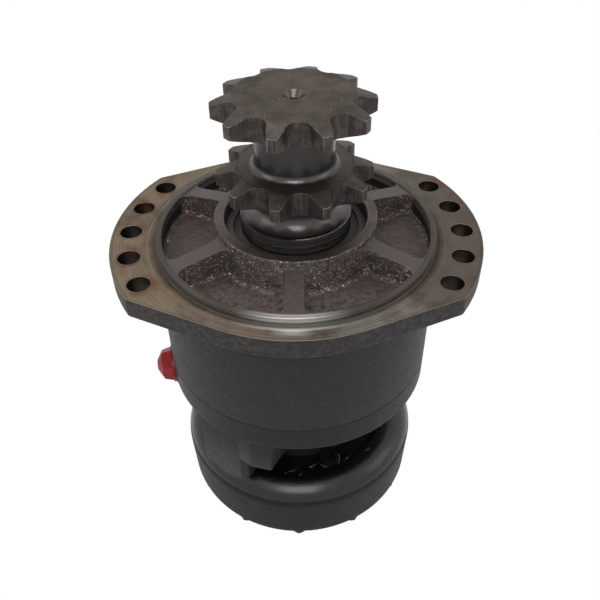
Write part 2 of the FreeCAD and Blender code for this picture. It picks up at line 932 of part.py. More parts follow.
def cam_rollers():
    low = piston_level - cam_roller_half
    high = piston_level + cam_roller_half
    roller = disc(cam_roller_radius, low, high, polar(cam_roller_centre, 0))
    return Part.makeCompound(around(roller, piston_count))


def cam_ring():
    top = body_bottom + cam_ring_height
    count = cam_lobes * cam_points_per_lobe
    points = []
    for index in range(count):
        angle = index * 360.0 / count
        lift = cam_lift * math.cos(math.radians(cam_lobes * angle))
        points.append(polar(cam_mean_radius + lift, angle, body_bottom))
    track = Part.BSplineCurve()
    track.interpolate(Points=points, PeriodicFlag=True)
    hole = Part.Face(Part.Wire([track.toShape()])).extrude(Vector(0, 0, cam_ring_height))
    blank = disc(cam_outer_radius, body_bottom, top)
    return cut_all(blank, [hole] + around(cam_pin(seat_gap), cam_pin_count))


def cam_ring_pins():
    return Part.makeCompound(around(cam_pin(0), cam_pin_count))


# Port housing

# Cuts and bodies of the port block are drawn with its face looking along +X
def on_port_side(shape):
    return spun(shape, port_block_angle)


def port_block():
    half = port_block_width / 2
    root = rim_bottom + rim_height / 2
    foot = rim_bottom - port_block_height
    step = rim_bottom - port_step_height
    start = rear_neck_radius - 2 * rear_neck_round

    def facing(point):
        return Vector(start, point.x, point.y)

    front = outline([
        (-half, root),
        (-half, foot, port_block_round),
        (half - port_step_width, foot, port_block_round),
        (half - port_step_width, step, port_block_round),
        (half, step, port_block_round),
        (half, root),
    ], facing)
    solid = Part.Face(front).extrude(Vector(port_block_face - start, 0, 0))
    rims = []
    for edge in solid.Edges:
        if edge.BoundBox.XMin > port_block_face - pick_gap and edge.CenterOfMass.z < root - pick_gap:
            rims.append(edge)
    return on_port_side(solid.makeFillet(port_block_round / 2, rims))


def port_bores():
    tools = []
    side = -port_block_width / 2
    inward = Vector(0, 1, 0)
    for index in range(port_count):
        height = rim_bottom - port_first_drop - index * port_spacing
        mouth = Vector(port_block_face - port_face_inset, side, height)
        outside = mouth - inward * tool_reach
        tools.append(on_port_side(bar(port_radius, port_depth + tool_reach, outside, inward)))
        tools.append(on_port_side(bar(spot_face_radius, spot_face_depth + tool_reach, outside, inward)))
    return tools


def drain_face():
    return body_radius - drain_spot_depth


def drain_bar(radius, start, end):
    direction = polar(1, drain_angle)
    return bar(radius, end - start, polar(start, drain_angle, drain_height), direction)


def distributor_tier(index):
    radius = distributor_radius - index * distributor_step
    top = block_bottom - distributor_film
    if index > 0:
        top -= distributor_top_height + (index - 1) * distributor_step_height
    bottom = block_bottom - distributor_film - distributor_top_height - index * distributor_step_height
    return radius, top, bottom


def distributor_bottom():
    return distributor_tier(distributor_tiers - 1)[2]


def rear_housing():
    casting = turned([
        (0, body_bottom),
        (body_radius, body_bottom, edge_break),
        (body_radius, rim_bottom, rim_edge_round),
        (rear_neck_radius, rim_bottom, rear_neck_round),
        (rear_neck_radius, drum_top),
        (neck_spigot_radius, drum_top),
        (neck_spigot_radius, drum_top - neck_spigot_height, edge_break),
        (0, drum_top - neck_spigot_height),
    ])
    boss = drain_bar(drain_boss_radius, rear_neck_radius - rear_neck_round, drain_face())
    casting = joined(casting, [port_block(), boss])
    tools = [
        disc(block_radius + block_recess_margin, body_bottom - block_recess_depth, body_bottom),
        disc(brake_shaft_passage_radius, drum_top - neck_spigot_height - tool_reach, body_bottom),
        drain_bar(drain_thread_radius, drain_face() - drain_thread_depth, drain_face() + tool_reach),
        drain_bar(plug_flange_radius + head_gap, drain_face(), body_radius + tool_reach),
    ]
    for index in range(distributor_tiers):
        radius, top, bottom = distributor_tier(index)
        floor = bottom - distributor_float
        if index == distributor_tiers - 1:
            floor = bottom - spring_floor_gap
        tools.append(disc(radius + seat_gap, floor, body_bottom))
    tools += port_bores()
    place = polar(housing_screw_circle, 0)
    low = rim_bottom - tool_reach
    through = disc(housing_screw_radius + head_gap, low, body_bottom + tool_reach, place)
    seat = disc(housing_screw_head_radius + head_gap / 2, low, housing_screw_seat(), place)
    tools += housing_screw_places(through.fuse(seat))
    screw_end = brake_screw_seat() + brake_screw_length + tool_reach
    screw_place = polar(brake_screw_circle, 0)
    thread = disc(brake_screw_radius + seat_gap, drum_top - tool_reach, screw_end, screw_place)
    tools += around(thread, brake_screw_count)
    tools.append(ring(
        brake_seal_radius + brake_seal_section + seat_gap,
        brake_seal_radius - brake_seal_section - seat_gap,
        drum_top - tool_reach,
        drum_top + 2 * brake_seal_section + seat_gap,
    ))
    return cut_all(casting, tools)


def distributor():
    corners = [(distributor_bore_radius, distributor_bottom())]
    corners.append((distributor_bore_radius, block_bottom - distributor_film))
    grooves = []
    for index in range(distributor_tiers):
        radius, top, bottom = distributor_tier(index)
        corners.append((radius, top))
        corners.append((radius, bottom))
        middle = (top + bottom) / 2
        half = ring_groove_width / 2
        grooves.append(ring(radius + tool_reach, radius - ring_groove_depth, middle - half, middle + half))
    blank = turned(corners)
    top = block_bottom - distributor_film
    port = disc(oil_way_radius, top - distributor_port_depth, top + tool_reach, polar(oil_way_circle, 0))
    return cut_all(blank, grooves + around(port, 2 * cam_lobes))


def distributor_rings():
    rings = []
    for index in range(distributor_tiers):
        radius, top, bottom = distributor_tier(index)
        middle = (top + bottom) / 2
        half = ring_groove_width / 2 - seat_gap
        rings.append(ring(radius, radius - ring_groove_depth + seat_gap, middle - half, middle + half))
    return Part.makeCompound(rings)


def distributor_spring():
    top = distributor_bottom() - seat_gap
    floor = distributor_bottom() - spring_floor_gap + seat_gap
    thick = distributor_spring_thickness
    return turned([
        (distributor_spring_inner, floor),
        (distributor_spring_outer, top - thick),
        (distributor_spring_outer, top),
        (distributor_spring_inner, floor + thick),
    ])


# Holding brake

def brake_housing():
    step = piston_top - piston_land_height + head_gap
    shell = turned([
        (neck_spigot_radius + seat_gap, drum_top),
        (brake_dish_radius, drum_top, bead_inner_round),
        (bead_inner_radius, drum_top + bead_height, bead_inner_round / 2),
        (drum_top_radius, drum_top + bead_height, bead_round),
        (drum_foot_radius, drum_bottom),
        (piston_bore_radius + seat_gap, drum_bottom),
        (piston_bore_radius + seat_gap, step),
        (disc_bore_radius + seat_gap, step),
        (disc_bore_radius + seat_gap, stack_top),
        (neck_spigot_radius + seat_gap, stack_top),
    ])
    boss = disc(
        brake_port_boss_radius,
        drum_top - drum_top_wall / 2,
        drum_top + brake_port_boss_height,
        polar(brake_port_circle, brake_port_angle),
    )
    face = drum_top + brake_port_boss_height
    rims = [edge for edge in boss.Edges if edge.BoundBox.ZMin > face - pick_gap]
    boss = boss.makeFillet(brake_port_boss_round, rims)
    shell = joined(shell, [boss])
    groove = Part.makeBox(
        tab_reach + tool_reach,
        tab_width + 2 * running_gap,
        stack_top - step,
        Vector(disc_bore_radius - tool_reach, -tab_width / 2 - running_gap, step),
    )
    place = polar(brake_screw_circle, 0)
    through = disc(brake_screw_radius + head_gap, stack_top - tool_reach, drum_top + tool_reach, place)
    seat = disc(brake_screw_head_radius + head_gap / 2, stack_top - tool_reach, brake_screw_seat(), place)
    bolt_top = drum_bottom - cover_rim_thickness + cover_bolt_length + tool_reach
    bolt_hole = disc(
        cover_bolt_radius + seat_gap, drum_bottom - tool_reach, bolt_top, polar(cover_bolt_circle, 0)
    )
    port = disc(
        brake_plug_radius + seat_gap,
        face - brake_plug_length - tool_reach,
        face + tool_reach,
        polar(brake_port_circle, brake_port_angle),
    )
    tools = [port]
    tools += around(groove, tab_count)
    tools += around(through.fuse(seat), brake_screw_count)
    tools += around(bolt_hole, cover_bolt_count, -90.0)
    return cut_all(shell, tools)


def steel_height(index):
    return stack_top - running_gap - index * disc_pair


def steel_discs():
    discs = []
    for index in range(steel_disc_count):
        top = steel_height(index)
        bottom = top - steel_disc_thickness
        plain = ring(disc_bore_radius - running_gap, steel_disc_inner, bottom, top)
        tab = Part.makeBox(
            tab_reach,
            tab_width,
            steel_disc_thickness,
            Vector(disc_bore_radius - 4 * running_gap, -tab_width / 2, bottom),
        )
        discs.append(joined(plain, around(tab, tab_count)))
    return Part.makeCompound(discs)


def hub_spline_hole(bottom, top):
    return spline_hole(hub_spline_minor_radius, hub_spline_major_radius, hub_spline_teeth, bottom, top)


def friction_discs():
    discs = []
    for index in range(friction_disc_count):
        top = steel_height(index) - steel_disc_thickness - running_gap
        bottom = top - friction_disc_thickness
        hole = hub_spline_hole(bottom - tool_reach, top + tool_reach)
        discs.append(disc(friction_disc_outer, bottom, top).cut(hole))
    return Part.makeCompound(discs)


def brake_hub():
    top = hub_top
    hub_bottom = stack_bottom
    inner_rim = hub_spline_minor_radius - hub_ring_width
    web_high = top - hub_web_thickness / 2
    web_low = web_high - hub_web_thickness
    hub = turned([
        (0, top),
        (hub_boss_radius, top),
        (hub_boss_radius, web_high, hub_web_round),
        (inner_rim, web_high, hub_web_round),
        (inner_rim, top),
        (hub_spline_minor_radius, top),
        (hub_spline_minor_radius, hub_bottom),
        (inner_rim, hub_bottom),
        (inner_rim, web_low, hub_web_round),
        (hub_boss_radius, web_low, hub_web_round),
        (hub_boss_radius, top - hub_boss_height),
        (0, top - hub_boss_height),
    ])
    teeth = splined(
        hub_spline_minor_radius, hub_spline_major_radius, hub_spline_teeth, hub_bottom, top
    )
    ring_of_teeth = teeth.cut(disc(inner_rim, hub_bottom, top))
    bore = spline_hole(
        brake_spline_minor_radius,
        brake_spline_major_radius,
        brake_spline_teeth,
        top - hub_boss_height - tool_reach,
        top + tool_reach,
    )
    return cut_all(joined(hub, [ring_of_teeth]), [bore])


def snap_ring_bottoms():
    top = hub_top
    return [top + seat_gap, top - hub_boss_height - seat_gap - snap_ring_thickness]


def snap_groove_radius():
    return brake_spline_minor_radius - snap_groove_depth


def brake_shaft():
    upper_end = block_bottom + brake_spline_depth
    lower_end = hub_top - hub_boss_height - brake_shaft_tail
    upper_spline_end = block_bottom - running_gap
    shaft = disc(brake_spline_minor_radius, lower_end, upper_end)
    teeth = [
        splined(
            brake_spline_minor_radius,
            brake_spline_major_radius,
            brake_spline_teeth,
            upper_spline_end,
            upper_end,
        ),
        splined(
            brake_spline_minor_radius,
            brake_spline_major_radius,
            brake_spline_teeth,
            lower_end,
            hub_top + brake_shaft_tail,
        ),
    ]
    shaft = joined(shaft, teeth)
    grooves = []
    for bottom in snap_ring_bottoms():
        top = bottom + snap_ring_thickness
        wide = brake_spline_major_radius + tool_reach
        grooves.append(ring(wide, snap_groove_radius(), bottom - seat_gap / 2, top + seat_gap / 2))
    return cut_all(shaft, grooves)


def hub_snap_rings():
    rings = []
    for bottom in snap_ring_bottoms():
        top = bottom + snap_ring_thickness
        band = ring(snap_ring_radius, snap_groove_radius() + seat_gap, bottom, top)
        gap = Part.makeBox(
            snap_ring_radius,
            brake_spline_minor_radius,
            snap_ring_thickness,
            Vector(0, -brake_spline_minor_radius / 2, bottom),
        )
        rings.append(band.cut(gap))
    return Part.makeCompound(rings)


def piston_groove(radius, height):
    half = piston_seal_width / 2
    return ring(radius + tool_reach, radius - piston_seal_depth, height - half, height + half)


def piston_grooves():
    upper = piston_top - piston_land_height / 2
    lower = piston_top - (piston_land_height + piston_height) / 2
    return [(disc_bore_radius, upper), (piston_bore_radius, lower)]


def brake_piston():
    top = piston_top
    bottom = top - piston_height
    clear = hub_spline_major_radius + 2 * running_gap
    blank = turned([
        (piston_plate_inner, top - piston_recess_depth),
        (clear, top - piston_recess_depth),
        (clear, top),
        (disc_bore_radius - seat_gap, top),
        (disc_bore_radius - seat_gap, top - piston_land_height),
        (piston_bore_radius - seat_gap, top - piston_land_height),
        (piston_bore_radius - seat_gap, bottom),
        (piston_plate_inner, bottom),
    ])
    return cut_all(blank, [piston_groove(radius, height) for radius, height in piston_grooves()])


def brake_piston_seals():
    half = piston_seal_width / 2 - seat_gap
    rings = []
    for radius, height in piston_grooves():
        inner = radius - piston_seal_depth + seat_gap
        rings.append(ring(radius - seat_gap / 2, inner, height - half, height + half))
    return Part.makeCompound(rings)


def brake_spring():
    top = piston_top - piston_height - seat_gap
    floor = drum_bottom + seat_gap
    thick = brake_spring_thickness
    return turned([
        (brake_spring_inner, top),
        (brake_spring_inner, top - thick),
        (brake_spring_outer, floor),
        (brake_spring_outer, floor + thick),
    ])


# The cover's spigot stops the piston at the end of its travel
def spigot_top():
    return piston_top - piston_height - piston_travel - head_gap


def brake_cover():
    low_rim = drum_bottom - cover_rim_thickness
    low_centre = drum_bottom - cover_centre_thickness
    spigot = piston_bore_radius
    cover = turned([
        (0, drum_bottom),
        (spigot - cover_spigot_wall, drum_bottom),
        (spigot - cover_spigot_wall, spigot_top()),
        (spigot, spigot_top()),
        (spigot, drum_bottom),
        (cover_radius, drum_bottom),
        (cover_radius, low_rim, edge_break),
        (cover_centre_radius, low_rim),
        (cover_centre_radius, low_centre, cover_centre_round),
        (0, low_centre),
    ])
    half = piston_seal_width / 2
    middle = (drum_bottom + spigot_top()) / 2
    groove = ring(spigot + tool_reach, spigot - piston_seal_depth, middle - half, middle + half)
    hole = disc(
        cover_bolt_radius + head_gap / 2,
        low_rim - tool_reach,
        drum_bottom + tool_reach,
        polar(cover_bolt_circle, 0),
    )
    return cut_all(cover, [groove] + around(hole, cover_bolt_count, -90.0))


def cover_seal():
    half = piston_seal_width / 2 - seat_gap
    middle = (drum_bottom + spigot_top()) / 2
    inner = piston_bore_radius - piston_seal_depth + seat_gap
    return ring(piston_bore_radius, inner, middle - half, middle + half)


def brake_seal():
    middle = drum_top + brake_seal_section
    return Part.makeTorus(brake_seal_radius, brake_seal_section, Vector(0, 0, middle))


# Fasteners and plugs

# A socket head screw that points up, with the underside of its head at the given height
def socket_screw(radius, head_radius, head_height, length, seat, place):
    shank = disc(radius, seat, seat + length, place)
    head = disc(head_radius, seat - head_height, seat, place)
    floor = seat - head_height
    socket = hexagon(screw_socket_across, floor - tool_reach, floor + screw_socket_depth, place)
    return joined(head, [shank]).cut(socket)


def housing_screws():
    screw = socket_screw(
        housing_screw_radius,
        housing_screw_head_radius,
        housing_screw_head_height,
        housing_screw_length,
        housing_screw_seat(),
        polar(housing_screw_circle, 0),
    )
    return Part.makeCompound(housing_screw_places(screw))


def brake_screws():
    screw = socket_screw(
        brake_screw_radius,
        brake_screw_head_radius,
        brake_screw_head_height,
        brake_screw_length,
        brake_screw_seat(),
        polar(brake_screw_circle, 0),
    )
    return Part.makeCompound(around(screw, brake_screw_count))


def cover_bolts():
    seat = drum_bottom - cover_rim_thickness
    place = polar(cover_bolt_circle, 0)
    head = hexagon(cover_bolt_across, seat - cover_bolt_head_height, seat, place)
    crown = Part.makeCone(
        cover_bolt_across / 2,
        cover_bolt_across / 2 + cover_bolt_head_height,
        cover_bolt_head_height,
        place + Vector(0, 0, seat - cover_bolt_head_height),
    )
    bolt = joined(head.common(crown), [disc(cover_bolt_radius, seat, seat + cover_bolt_length, place)])
    return Part.makeCompound(around(bolt, cover_bolt_count, -90.0))


# A plastic shipping plug with a tapered hexagon to turn it by, screwed into the drain port
def drain_plug():
    thread = disc(drain_thread_radius - seat_gap, -drain_thread_depth + tool_reach, 0)
    flange = disc(plug_flange_radius, 0, plug_flange_thickness)
    top = plug_flange_thickness + plug_hex_height
    foot = hexagon_outline(plug_foot_across, plug_flange_thickness)
    head = Part.makeLoft([foot, hexagon_outline(plug_tip_across, top)], True, True)
    crown = turned([
        (0, plug_flange_thickness),
        (plug_foot_across, plug_flange_thickness),
        (plug_crown_radius, top),
        (0, top),
    ])
    plug = joined(thread, [flange, head.common(crown)])
    plug.rotate(Vector(0, 0, 0), Vector(0, 1, 0), 90)
    plug.translate(Vector(drain_face(), 0, drain_height))
    return spun(plug, drain_angle)


def brake_port_plug():
    place = polar(brake_port_circle, brake_port_angle)
    face = drum_top + brake_port_boss_height
    head = disc(brake_plug_head_radius, face, face + brake_plug_head_height, place)
    thread = disc(brake_plug_radius, face - brake_plug_length, face, place)
    top = face + brake_plug_head_height
    socket = hexagon(brake_plug_socket_across, top - brake_plug_head_height, top + tool_reach, place)
    return joined(head, [thread]).cut(socket)


os.makedirs("parts", exist_ok=True)
save("front_housing", front_housing())
save("sprocket_shaft", sprocket_shaft())
save("seal_case", seal_case())
save("shaft_seal", shaft_seal())
save("outer_bearing_cup", outer_bearing(bearing_cup()))
save("outer_bearing_cone", outer_bearing(bearing_cone()))
save("outer_bearing_rollers", outer_bearing(bearing_rollers()))
save("outer_bearing_cage", outer_bearing(bearing_cage()))
save("inner_bearing_cup", inner_bearing(bearing_cup()))
save("inner_bearing_cone", inner_bearing(bearing_cone()))
save("inner_bearing_rollers", inner_bearing(bearing_rollers()))
save("inner_bearing_cage", inner_bearing(bearing_cage()))
save("bearing_nut", bearing_nut())
save("lock_washer", lock_washer())
save("cylinder_block", cylinder_block())
save("pistons", pistons())
save("piston_rings", piston_rings())
save("cam_rollers", cam_rollers())
save("cam_ring", cam_ring())
save("cam_ring_pins", cam_ring_pins())
save("rear_housing", rear_housing())
save("housing_screws", housing_screws())
save("distributor", distributor())
save("distributor_rings", distributor_rings())
save("distributor_spring", distributor_spring())
save("drain_plug", drain_plug())
save("brake_housing", brake_housing())
save("brake_screws", brake_screws())
save("brake_seal", brake_seal())
save("brake_port_plug", brake_port_plug())
save("brake_shaft", brake_shaft())
save("brake_hub", brake_hub())
save("hub_snap_rings", hub_snap_rings())
save("steel_discs", steel_discs())
save("friction_discs", friction_discs())
save("brake_piston", brake_piston())
save("brake_piston_seals", brake_piston_seals())
save("brake_spring", brake_spring())
save("brake_cover", brake_cover())
save("cover_bolts", cover_bolts())
save("cover_seal", cover_seal())
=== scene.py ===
import math
import random

import bmesh
import bpy
from mathutils import Matrix, Vector


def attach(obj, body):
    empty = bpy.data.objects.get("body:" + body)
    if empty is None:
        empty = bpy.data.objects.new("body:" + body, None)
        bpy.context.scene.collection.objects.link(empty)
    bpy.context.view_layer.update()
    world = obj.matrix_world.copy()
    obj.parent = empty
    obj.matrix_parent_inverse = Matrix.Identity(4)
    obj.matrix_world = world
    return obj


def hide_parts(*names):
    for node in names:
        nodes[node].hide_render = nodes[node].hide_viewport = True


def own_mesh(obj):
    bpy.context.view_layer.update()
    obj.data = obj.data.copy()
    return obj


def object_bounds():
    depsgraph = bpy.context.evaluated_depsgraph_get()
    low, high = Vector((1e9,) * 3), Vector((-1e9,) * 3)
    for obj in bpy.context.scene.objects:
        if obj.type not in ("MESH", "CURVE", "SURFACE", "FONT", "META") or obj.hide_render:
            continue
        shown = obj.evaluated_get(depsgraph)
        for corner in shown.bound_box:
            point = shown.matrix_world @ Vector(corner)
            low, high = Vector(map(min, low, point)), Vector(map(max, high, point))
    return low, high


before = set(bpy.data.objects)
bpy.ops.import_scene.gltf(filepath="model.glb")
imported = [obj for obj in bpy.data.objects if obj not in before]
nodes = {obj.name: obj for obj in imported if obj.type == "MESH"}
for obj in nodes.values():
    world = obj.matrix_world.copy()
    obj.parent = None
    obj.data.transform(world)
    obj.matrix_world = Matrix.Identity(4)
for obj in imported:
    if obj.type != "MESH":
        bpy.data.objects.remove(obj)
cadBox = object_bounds()
print("frame loaded,", len(nodes), "nodes")


# Shader kit

def tint(red, green, blue):  # a colour as it is seen on a screen, 0 to 255, turned into scene light
    def level(value):
        share = value / 255
        return share / 12.92 if share <= 0.04045 else ((share + 0.055) / 1.055) ** 2.4
    return (level(red), level(green), level(blue), 1.0)


class Wire:  # a socket that takes part in plain arithmetic
    def __init__(self, sheet, socket):
        self.sheet = sheet
        self.socket = socket

    def __add__(self, other):
        return self.sheet.maths("ADD", self, other)

    def __mul__(self, other):
        return self.sheet.maths("MULTIPLY", self, other)

    def __sub__(self, other):
        return self.sheet.maths("SUBTRACT", self, other)

    def __rsub__(self, other):
        return self.sheet.maths("SUBTRACT", other, self)

    __radd__ = __add__
    __rmul__ = __mul__

    def output(self, name):
        return Wire(self.sheet, self.socket.node.outputs[name])


specular = {"plain": 0.25, "paint": 0.15}    # of bare and of painted surfaces
edgeSeen = (0.985, 0.90)                     # likeness of two normals at which a surface counts as on an edge


class Sheet:  # one material and the nodes on it
    def __init__(self, name):
        self.material = bpy.data.materials.new(name)
        self.material.use_nodes = True
        self.tree = self.material.node_tree
        self.tree.nodes.clear()
        self.place = self.add("ShaderNodeTexCoord", out="Object")
        self.x = self.add("ShaderNodeSeparateXYZ", links={"Vector": self.place}, out="X")
        self.y = self.x.output("Y")
        self.z = self.x.output("Z")
        self.radius = self.maths("SQRT", self.x * self.x + self.y * self.y)
        flat = self.add("ShaderNodeNewGeometry", out="True Normal")
        self.smooth = flat.output("Normal")
        self.up = self.add("ShaderNodeSeparateXYZ", links={"Vector": flat}, out="Z")

    def add(self, kind, settings=None, links=None, out=0):
        node = self.tree.nodes.new(kind)
        for key, value in (settings or {}).items():
            setattr(node, key, value)
        for key, value in (links or {}).items():
            if isinstance(value, Wire):
                self.tree.links.new(value.socket, node.inputs[key])
            else:
                node.inputs[key].default_value = value
        return Wire(self, node.outputs[out]) if node.outputs else None

    def maths(self, operation, *values):
        return self.add("ShaderNodeMath", {"operation": operation}, dict(enumerate(values)))

    def rise(self, value, start, end):  # 0 at start, 1 at end, smooth between
        links = {"Value": value, "From Min": start, "From Max": end}
        return self.add("ShaderNodeMapRange", {"interpolation_type": "SMOOTHSTEP"}, links)

    def band(self, value, low, high, soft):  # 1 from low to high
        return self.rise(value, low - soft, low) * self.rise(value, high + soft, high)

    def blend(self, share, first, second):
        links = {0: share, 6: first, 7: second}
        return self.add("ShaderNodeMix", {"data_type": "RGBA"}, links, 2)

    def scaled(self, x, y, z):
        return self.add("ShaderNodeVectorMath", {"operation": "MULTIPLY"}, {0: self.place, 1: (x, y, z)})

    def noise(self, scale, detail=3.0, rough=0.55, place=None):
        links = {"Vector": place or self.place, "Scale": scale, "Detail": detail, "Roughness": rough}
        return self.add("ShaderNodeTexNoise", None, links)

    def grooves(self, along, scale, detail=2.0):  # lathe marks across one measure
        links = {"W": along, "Scale": scale, "Detail": detail}
        return self.add("ShaderNodeTexNoise", {"noise_dimensions": "1D"}, links)

    def cells(self, scale):
        return self.add("ShaderNodeTexVoronoi", None, {"Vector": self.place, "Scale": scale})

    def bump(self, height, depth, normal=None):
        links = {"Height": height, "Distance": depth}
        if normal is not None:
            links["Normal"] = normal
        return self.add("ShaderNodeBump", None, links)

    def softEdges(self, radius):
        return self.add("ShaderNodeBevel", {"samples": 4}, {"Radius": radius})

    def edgeMask(self, soft):  # 1 along the sharp edges that the soft normal rounds
        links = {0: soft, 1: self.smooth}
        likeness = self.add("ShaderNodeVectorMath", {"operation": "DOT_PRODUCT"}, links, "Value")
        return self.rise(likeness, *edgeSeen)

    def either(self, *masks):
        whole = masks[0]
        for mask in masks[1:]:
            whole = self.maths("MAXIMUM", whole, mask)
        return whole

    def shade(self, changing, fixed=None):
        links = {"Specular IOR Level": specular["plain"]}
        links.update(fixed or {})
        links.update(changing)
        shader = self.add("ShaderNodeBsdfPrincipled", None, links)
        self.add("ShaderNodeOutputMaterial", None, {"Surface": shader})
        return self.material


def dress(node, material):
    slots = nodes[node].data.materials
    slots.clear()
    slots.append(material)


# Camera, at the photograph's viewing angle

view = {
    "position": (0.00967, -0.45499, 0.32139),
    "target": (0.0023, 0.0, -0.07178),
    "rollDegrees": -0.838,
    "lens": 42.3,
    "sensor": 36.0,
    "nearest": 0.01,
}


def makeCamera():
    camera = bpy.data.objects.new("camera", bpy.data.cameras.new("camera"))
    bpy.context.scene.collection.objects.link(camera)
    position = Vector(view["position"])
    forward = (Vector(view["target"]) - position).normalized()
    right = forward.cross(Vector((0, 0, 1))).normalized()
    up = right.cross(forward)
    roll = math.radians(view["rollDegrees"])
    rolledRight = right * math.cos(roll) + up * math.sin(roll)
    rolledUp = up * math.cos(roll) - right * math.sin(roll)
    turn = Matrix((rolledRight, rolledUp, -forward)).transposed()
    camera.matrix_world = Matrix.Translation(position) @ turn.to_4x4()
    camera.data.lens = view["lens"]
    camera.data.sensor_width = view["sensor"]
    camera.data.clip_start = view["nearest"]
    bpy.context.scene.camera = camera


makeCamera()
print("camera set")


# Studio: white floor and world, one lamp over the camera, one over the part and a weak one at each side

studio = {
    "floorSize": 12.0,
    "floorPaper": (0.92, 0.92, 0.92, 1),
    "floorSeen": 0.99,      # share of plain white where the camera sees the floor, the rest is lit paper
    "worldLight": 0.36,     # what the world gives to matt surfaces, the camera sees it at full strength
    "lamps": [              # name, place, aimed at, size, power
        ("lampFront", (-0.02, -1.05, 0.92), (0, 0, -0.05), 0.75, 9.0),
        ("lampAbove", (-0.12, 0.40, 1.35), (0, 0, 0), 0.9, 5.5),
        ("lampLeft", (-1.2, -0.3, 0.5), (0, 0, -0.1), 0.7, 2.5),
        ("lampRight", (1.2, -0.2, 0.45), (0, 0, -0.1), 0.7, 1.9),
    ],
}


def seenDirectly(sheet):
    path = sheet.add("ShaderNodeLightPath", out="Is Camera Ray")
    return sheet.either(path, path.output("Is Glossy Ray"), path.output("Is Transmission Ray"))


def makeFloor():
    half = studio["floorSize"] / 2
    level = cadBox[0].z
    mesh = bpy.data.meshes.new("floor")
    corners = [(-half, -half, level), (half, -half, level), (half, half, level), (-half, half, level)]
    mesh.from_pydata(corners, [], [(0, 1, 2, 3)])
    floor = bpy.data.objects.new("floor", mesh)
    bpy.context.scene.collection.objects.link(floor)
    sheet = Sheet("floorWhite")
    paper = sheet.add("ShaderNodeBsdfDiffuse", None, {"Color": studio["floorPaper"]})
    glow = sheet.add("ShaderNodeEmission", None, {"Color": (1, 1, 1, 1), "Strength": 1.0})
    share = seenDirectly(sheet) * studio["floorSeen"]
    mixed = sheet.add("ShaderNodeMixShader", None, {0: share, 1: paper, 2: glow})
    sheet.add("ShaderNodeOutputMaterial", None, {"Surface": mixed})
    mesh.materials.append(sheet.material)


def makeWorld():
    world = bpy.data.worlds.new("studio")
    world.use_nodes = True
    bpy.context.scene.world = world
    tree = world.node_tree
    tree.nodes.clear()
    path = tree.nodes.new("ShaderNodeLightPath")
    seen = path.outputs["Is Camera Ray"]
    for ray in ("Is Glossy Ray", "Is Transmission Ray"):
        either = tree.nodes.new("ShaderNodeMath")
        either.operation = "MAXIMUM"
        tree.links.new(seen, either.inputs[0])
        tree.links.new(path.outputs[ray], either.inputs[1])
        seen = either.outputs[0]
    level = tree.nodes.new("ShaderNodeMapRange")
    level.inputs["To Min"].default_value = studio["worldLight"]
    level.inputs["To Max"].default_value = 1.0
    tree.links.new(seen, level.inputs["Value"])
    sky = tree.nodes.new("ShaderNodeBackground")
    sky.inputs["Color"].default_value = (1, 1, 1, 1)
    tree.links.new(level.outputs[0], sky.inputs["Strength"])
    end = tree.nodes.new("ShaderNodeOutputWorld")
    tree.links.new(sky.outputs[0], end.inputs["Surface"])


def makeLamps():
    for name, place, aim, size, power in studio["lamps"]:
        lamp = bpy.data.lights.new(name, "AREA")
        lamp.shape = "SQUARE"
        lamp.size = size
        lamp.energy = power
        holder = bpy.data.objects.new(name, lamp)
        bpy.context.scene.collection.objects.link(holder)
        holder.location = place
        holder.rotation_mode = "QUATERNION"
        holder.rotation_quaternion = (Vector(aim) - Vector(place)).to_track_quat("-Z", "Y")


makeFloor()
makeWorld()
makeLamps()
bpy.context.scene.view_settings.view_transform = "Standard"
print("studio lit")


# Front housing: dark paint outside, machined faces on top, raw casting in the pockets

housingLook = {
    "flangeWarm": tint(116, 101, 84),
    "flangeHighlightGrey": tint(124, 118, 113),
    "flangeShadedSide": tint(88, 80, 74),
    "flangeDull": tint(62, 54, 46),
    "scratch": tint(160, 150, 138),
    "rust": tint(104, 66, 40),
    "steel": tint(92, 86, 81),
    "steelDark": tint(64, 58, 54),
    "bossSteel": tint(84, 77, 72),
    "frontHighlight": tint(196, 192, 186),
    "bright": tint(168, 160, 148),
    "raw": tint(78, 70, 68),
    "rawDark": tint(50, 44, 43),
    "rawLit": tint(116, 107, 105),
    "ribTone": tint(77, 69, 66),
    "rawBrown": tint(96, 72, 60),
    "rawGlint": tint(226, 216, 204),
    "holeDark": tint(50, 45, 42),
    "paint": tint(32, 31, 35),
    "paintDark": tint(23, 22, 26),
    "castSkin": tint(56, 52, 50),
    "pilotRadius": 0.109,
    "ringInside": 0.1046,
    "boreRadius": 0.0570,
    "holeCircle": 0.130,
    "holeRadius": 0.0093,
    "holeStep": math.radians(15),
    "lastHole": math.radians(36),   # heading, from x, past which there are no holes
    "faceHeight": -0.0012,          # heights from which a surface takes that part's finish
    "bossHeight": 0.0168,
    "pocketFloor": -0.018,
    "ribHeight": 0.004,
    "edgeFoot": -0.0165,
    "boreSeen": (-0.04, -0.03),     # pairs: nothing at the first value, full at the second
    "stain": (0.018, 0.0085),
    "paintedLightFront": (-0.035, -0.080),
    "warmSide": (0.06, -0.10),
    "shadedSide": (0.05, 0.11),
    # headings from the front over which the ring and the flange get a painted highlight
    "frontGlint": (math.radians(24), math.radians(3)),
    "flangeGlint": (math.radians(9), 0.0),
    "flangeGlintBand": (0.1145, 0.1175, 0.003),    # from, to and softness
    "lipWidth": 0.0042,
    "lipSoft": 0.0012,
    "softEdge": 0.0007,
    "nearEdgeWidth": 0.005,
    "castDepth": 0.0011,
    "turnedDepth": 0.0001,
    "scales": {
        "patchy": 38, "blotch": 16, "grain": 900, "fine": 2600, "sand": 470, "sparkle": 1150,
        "lumps": 240, "wave": 70, "broad": 9, "lathe": 3600, "faint": 480,
    },
    "scuffs": (1500, 90, 1),
}


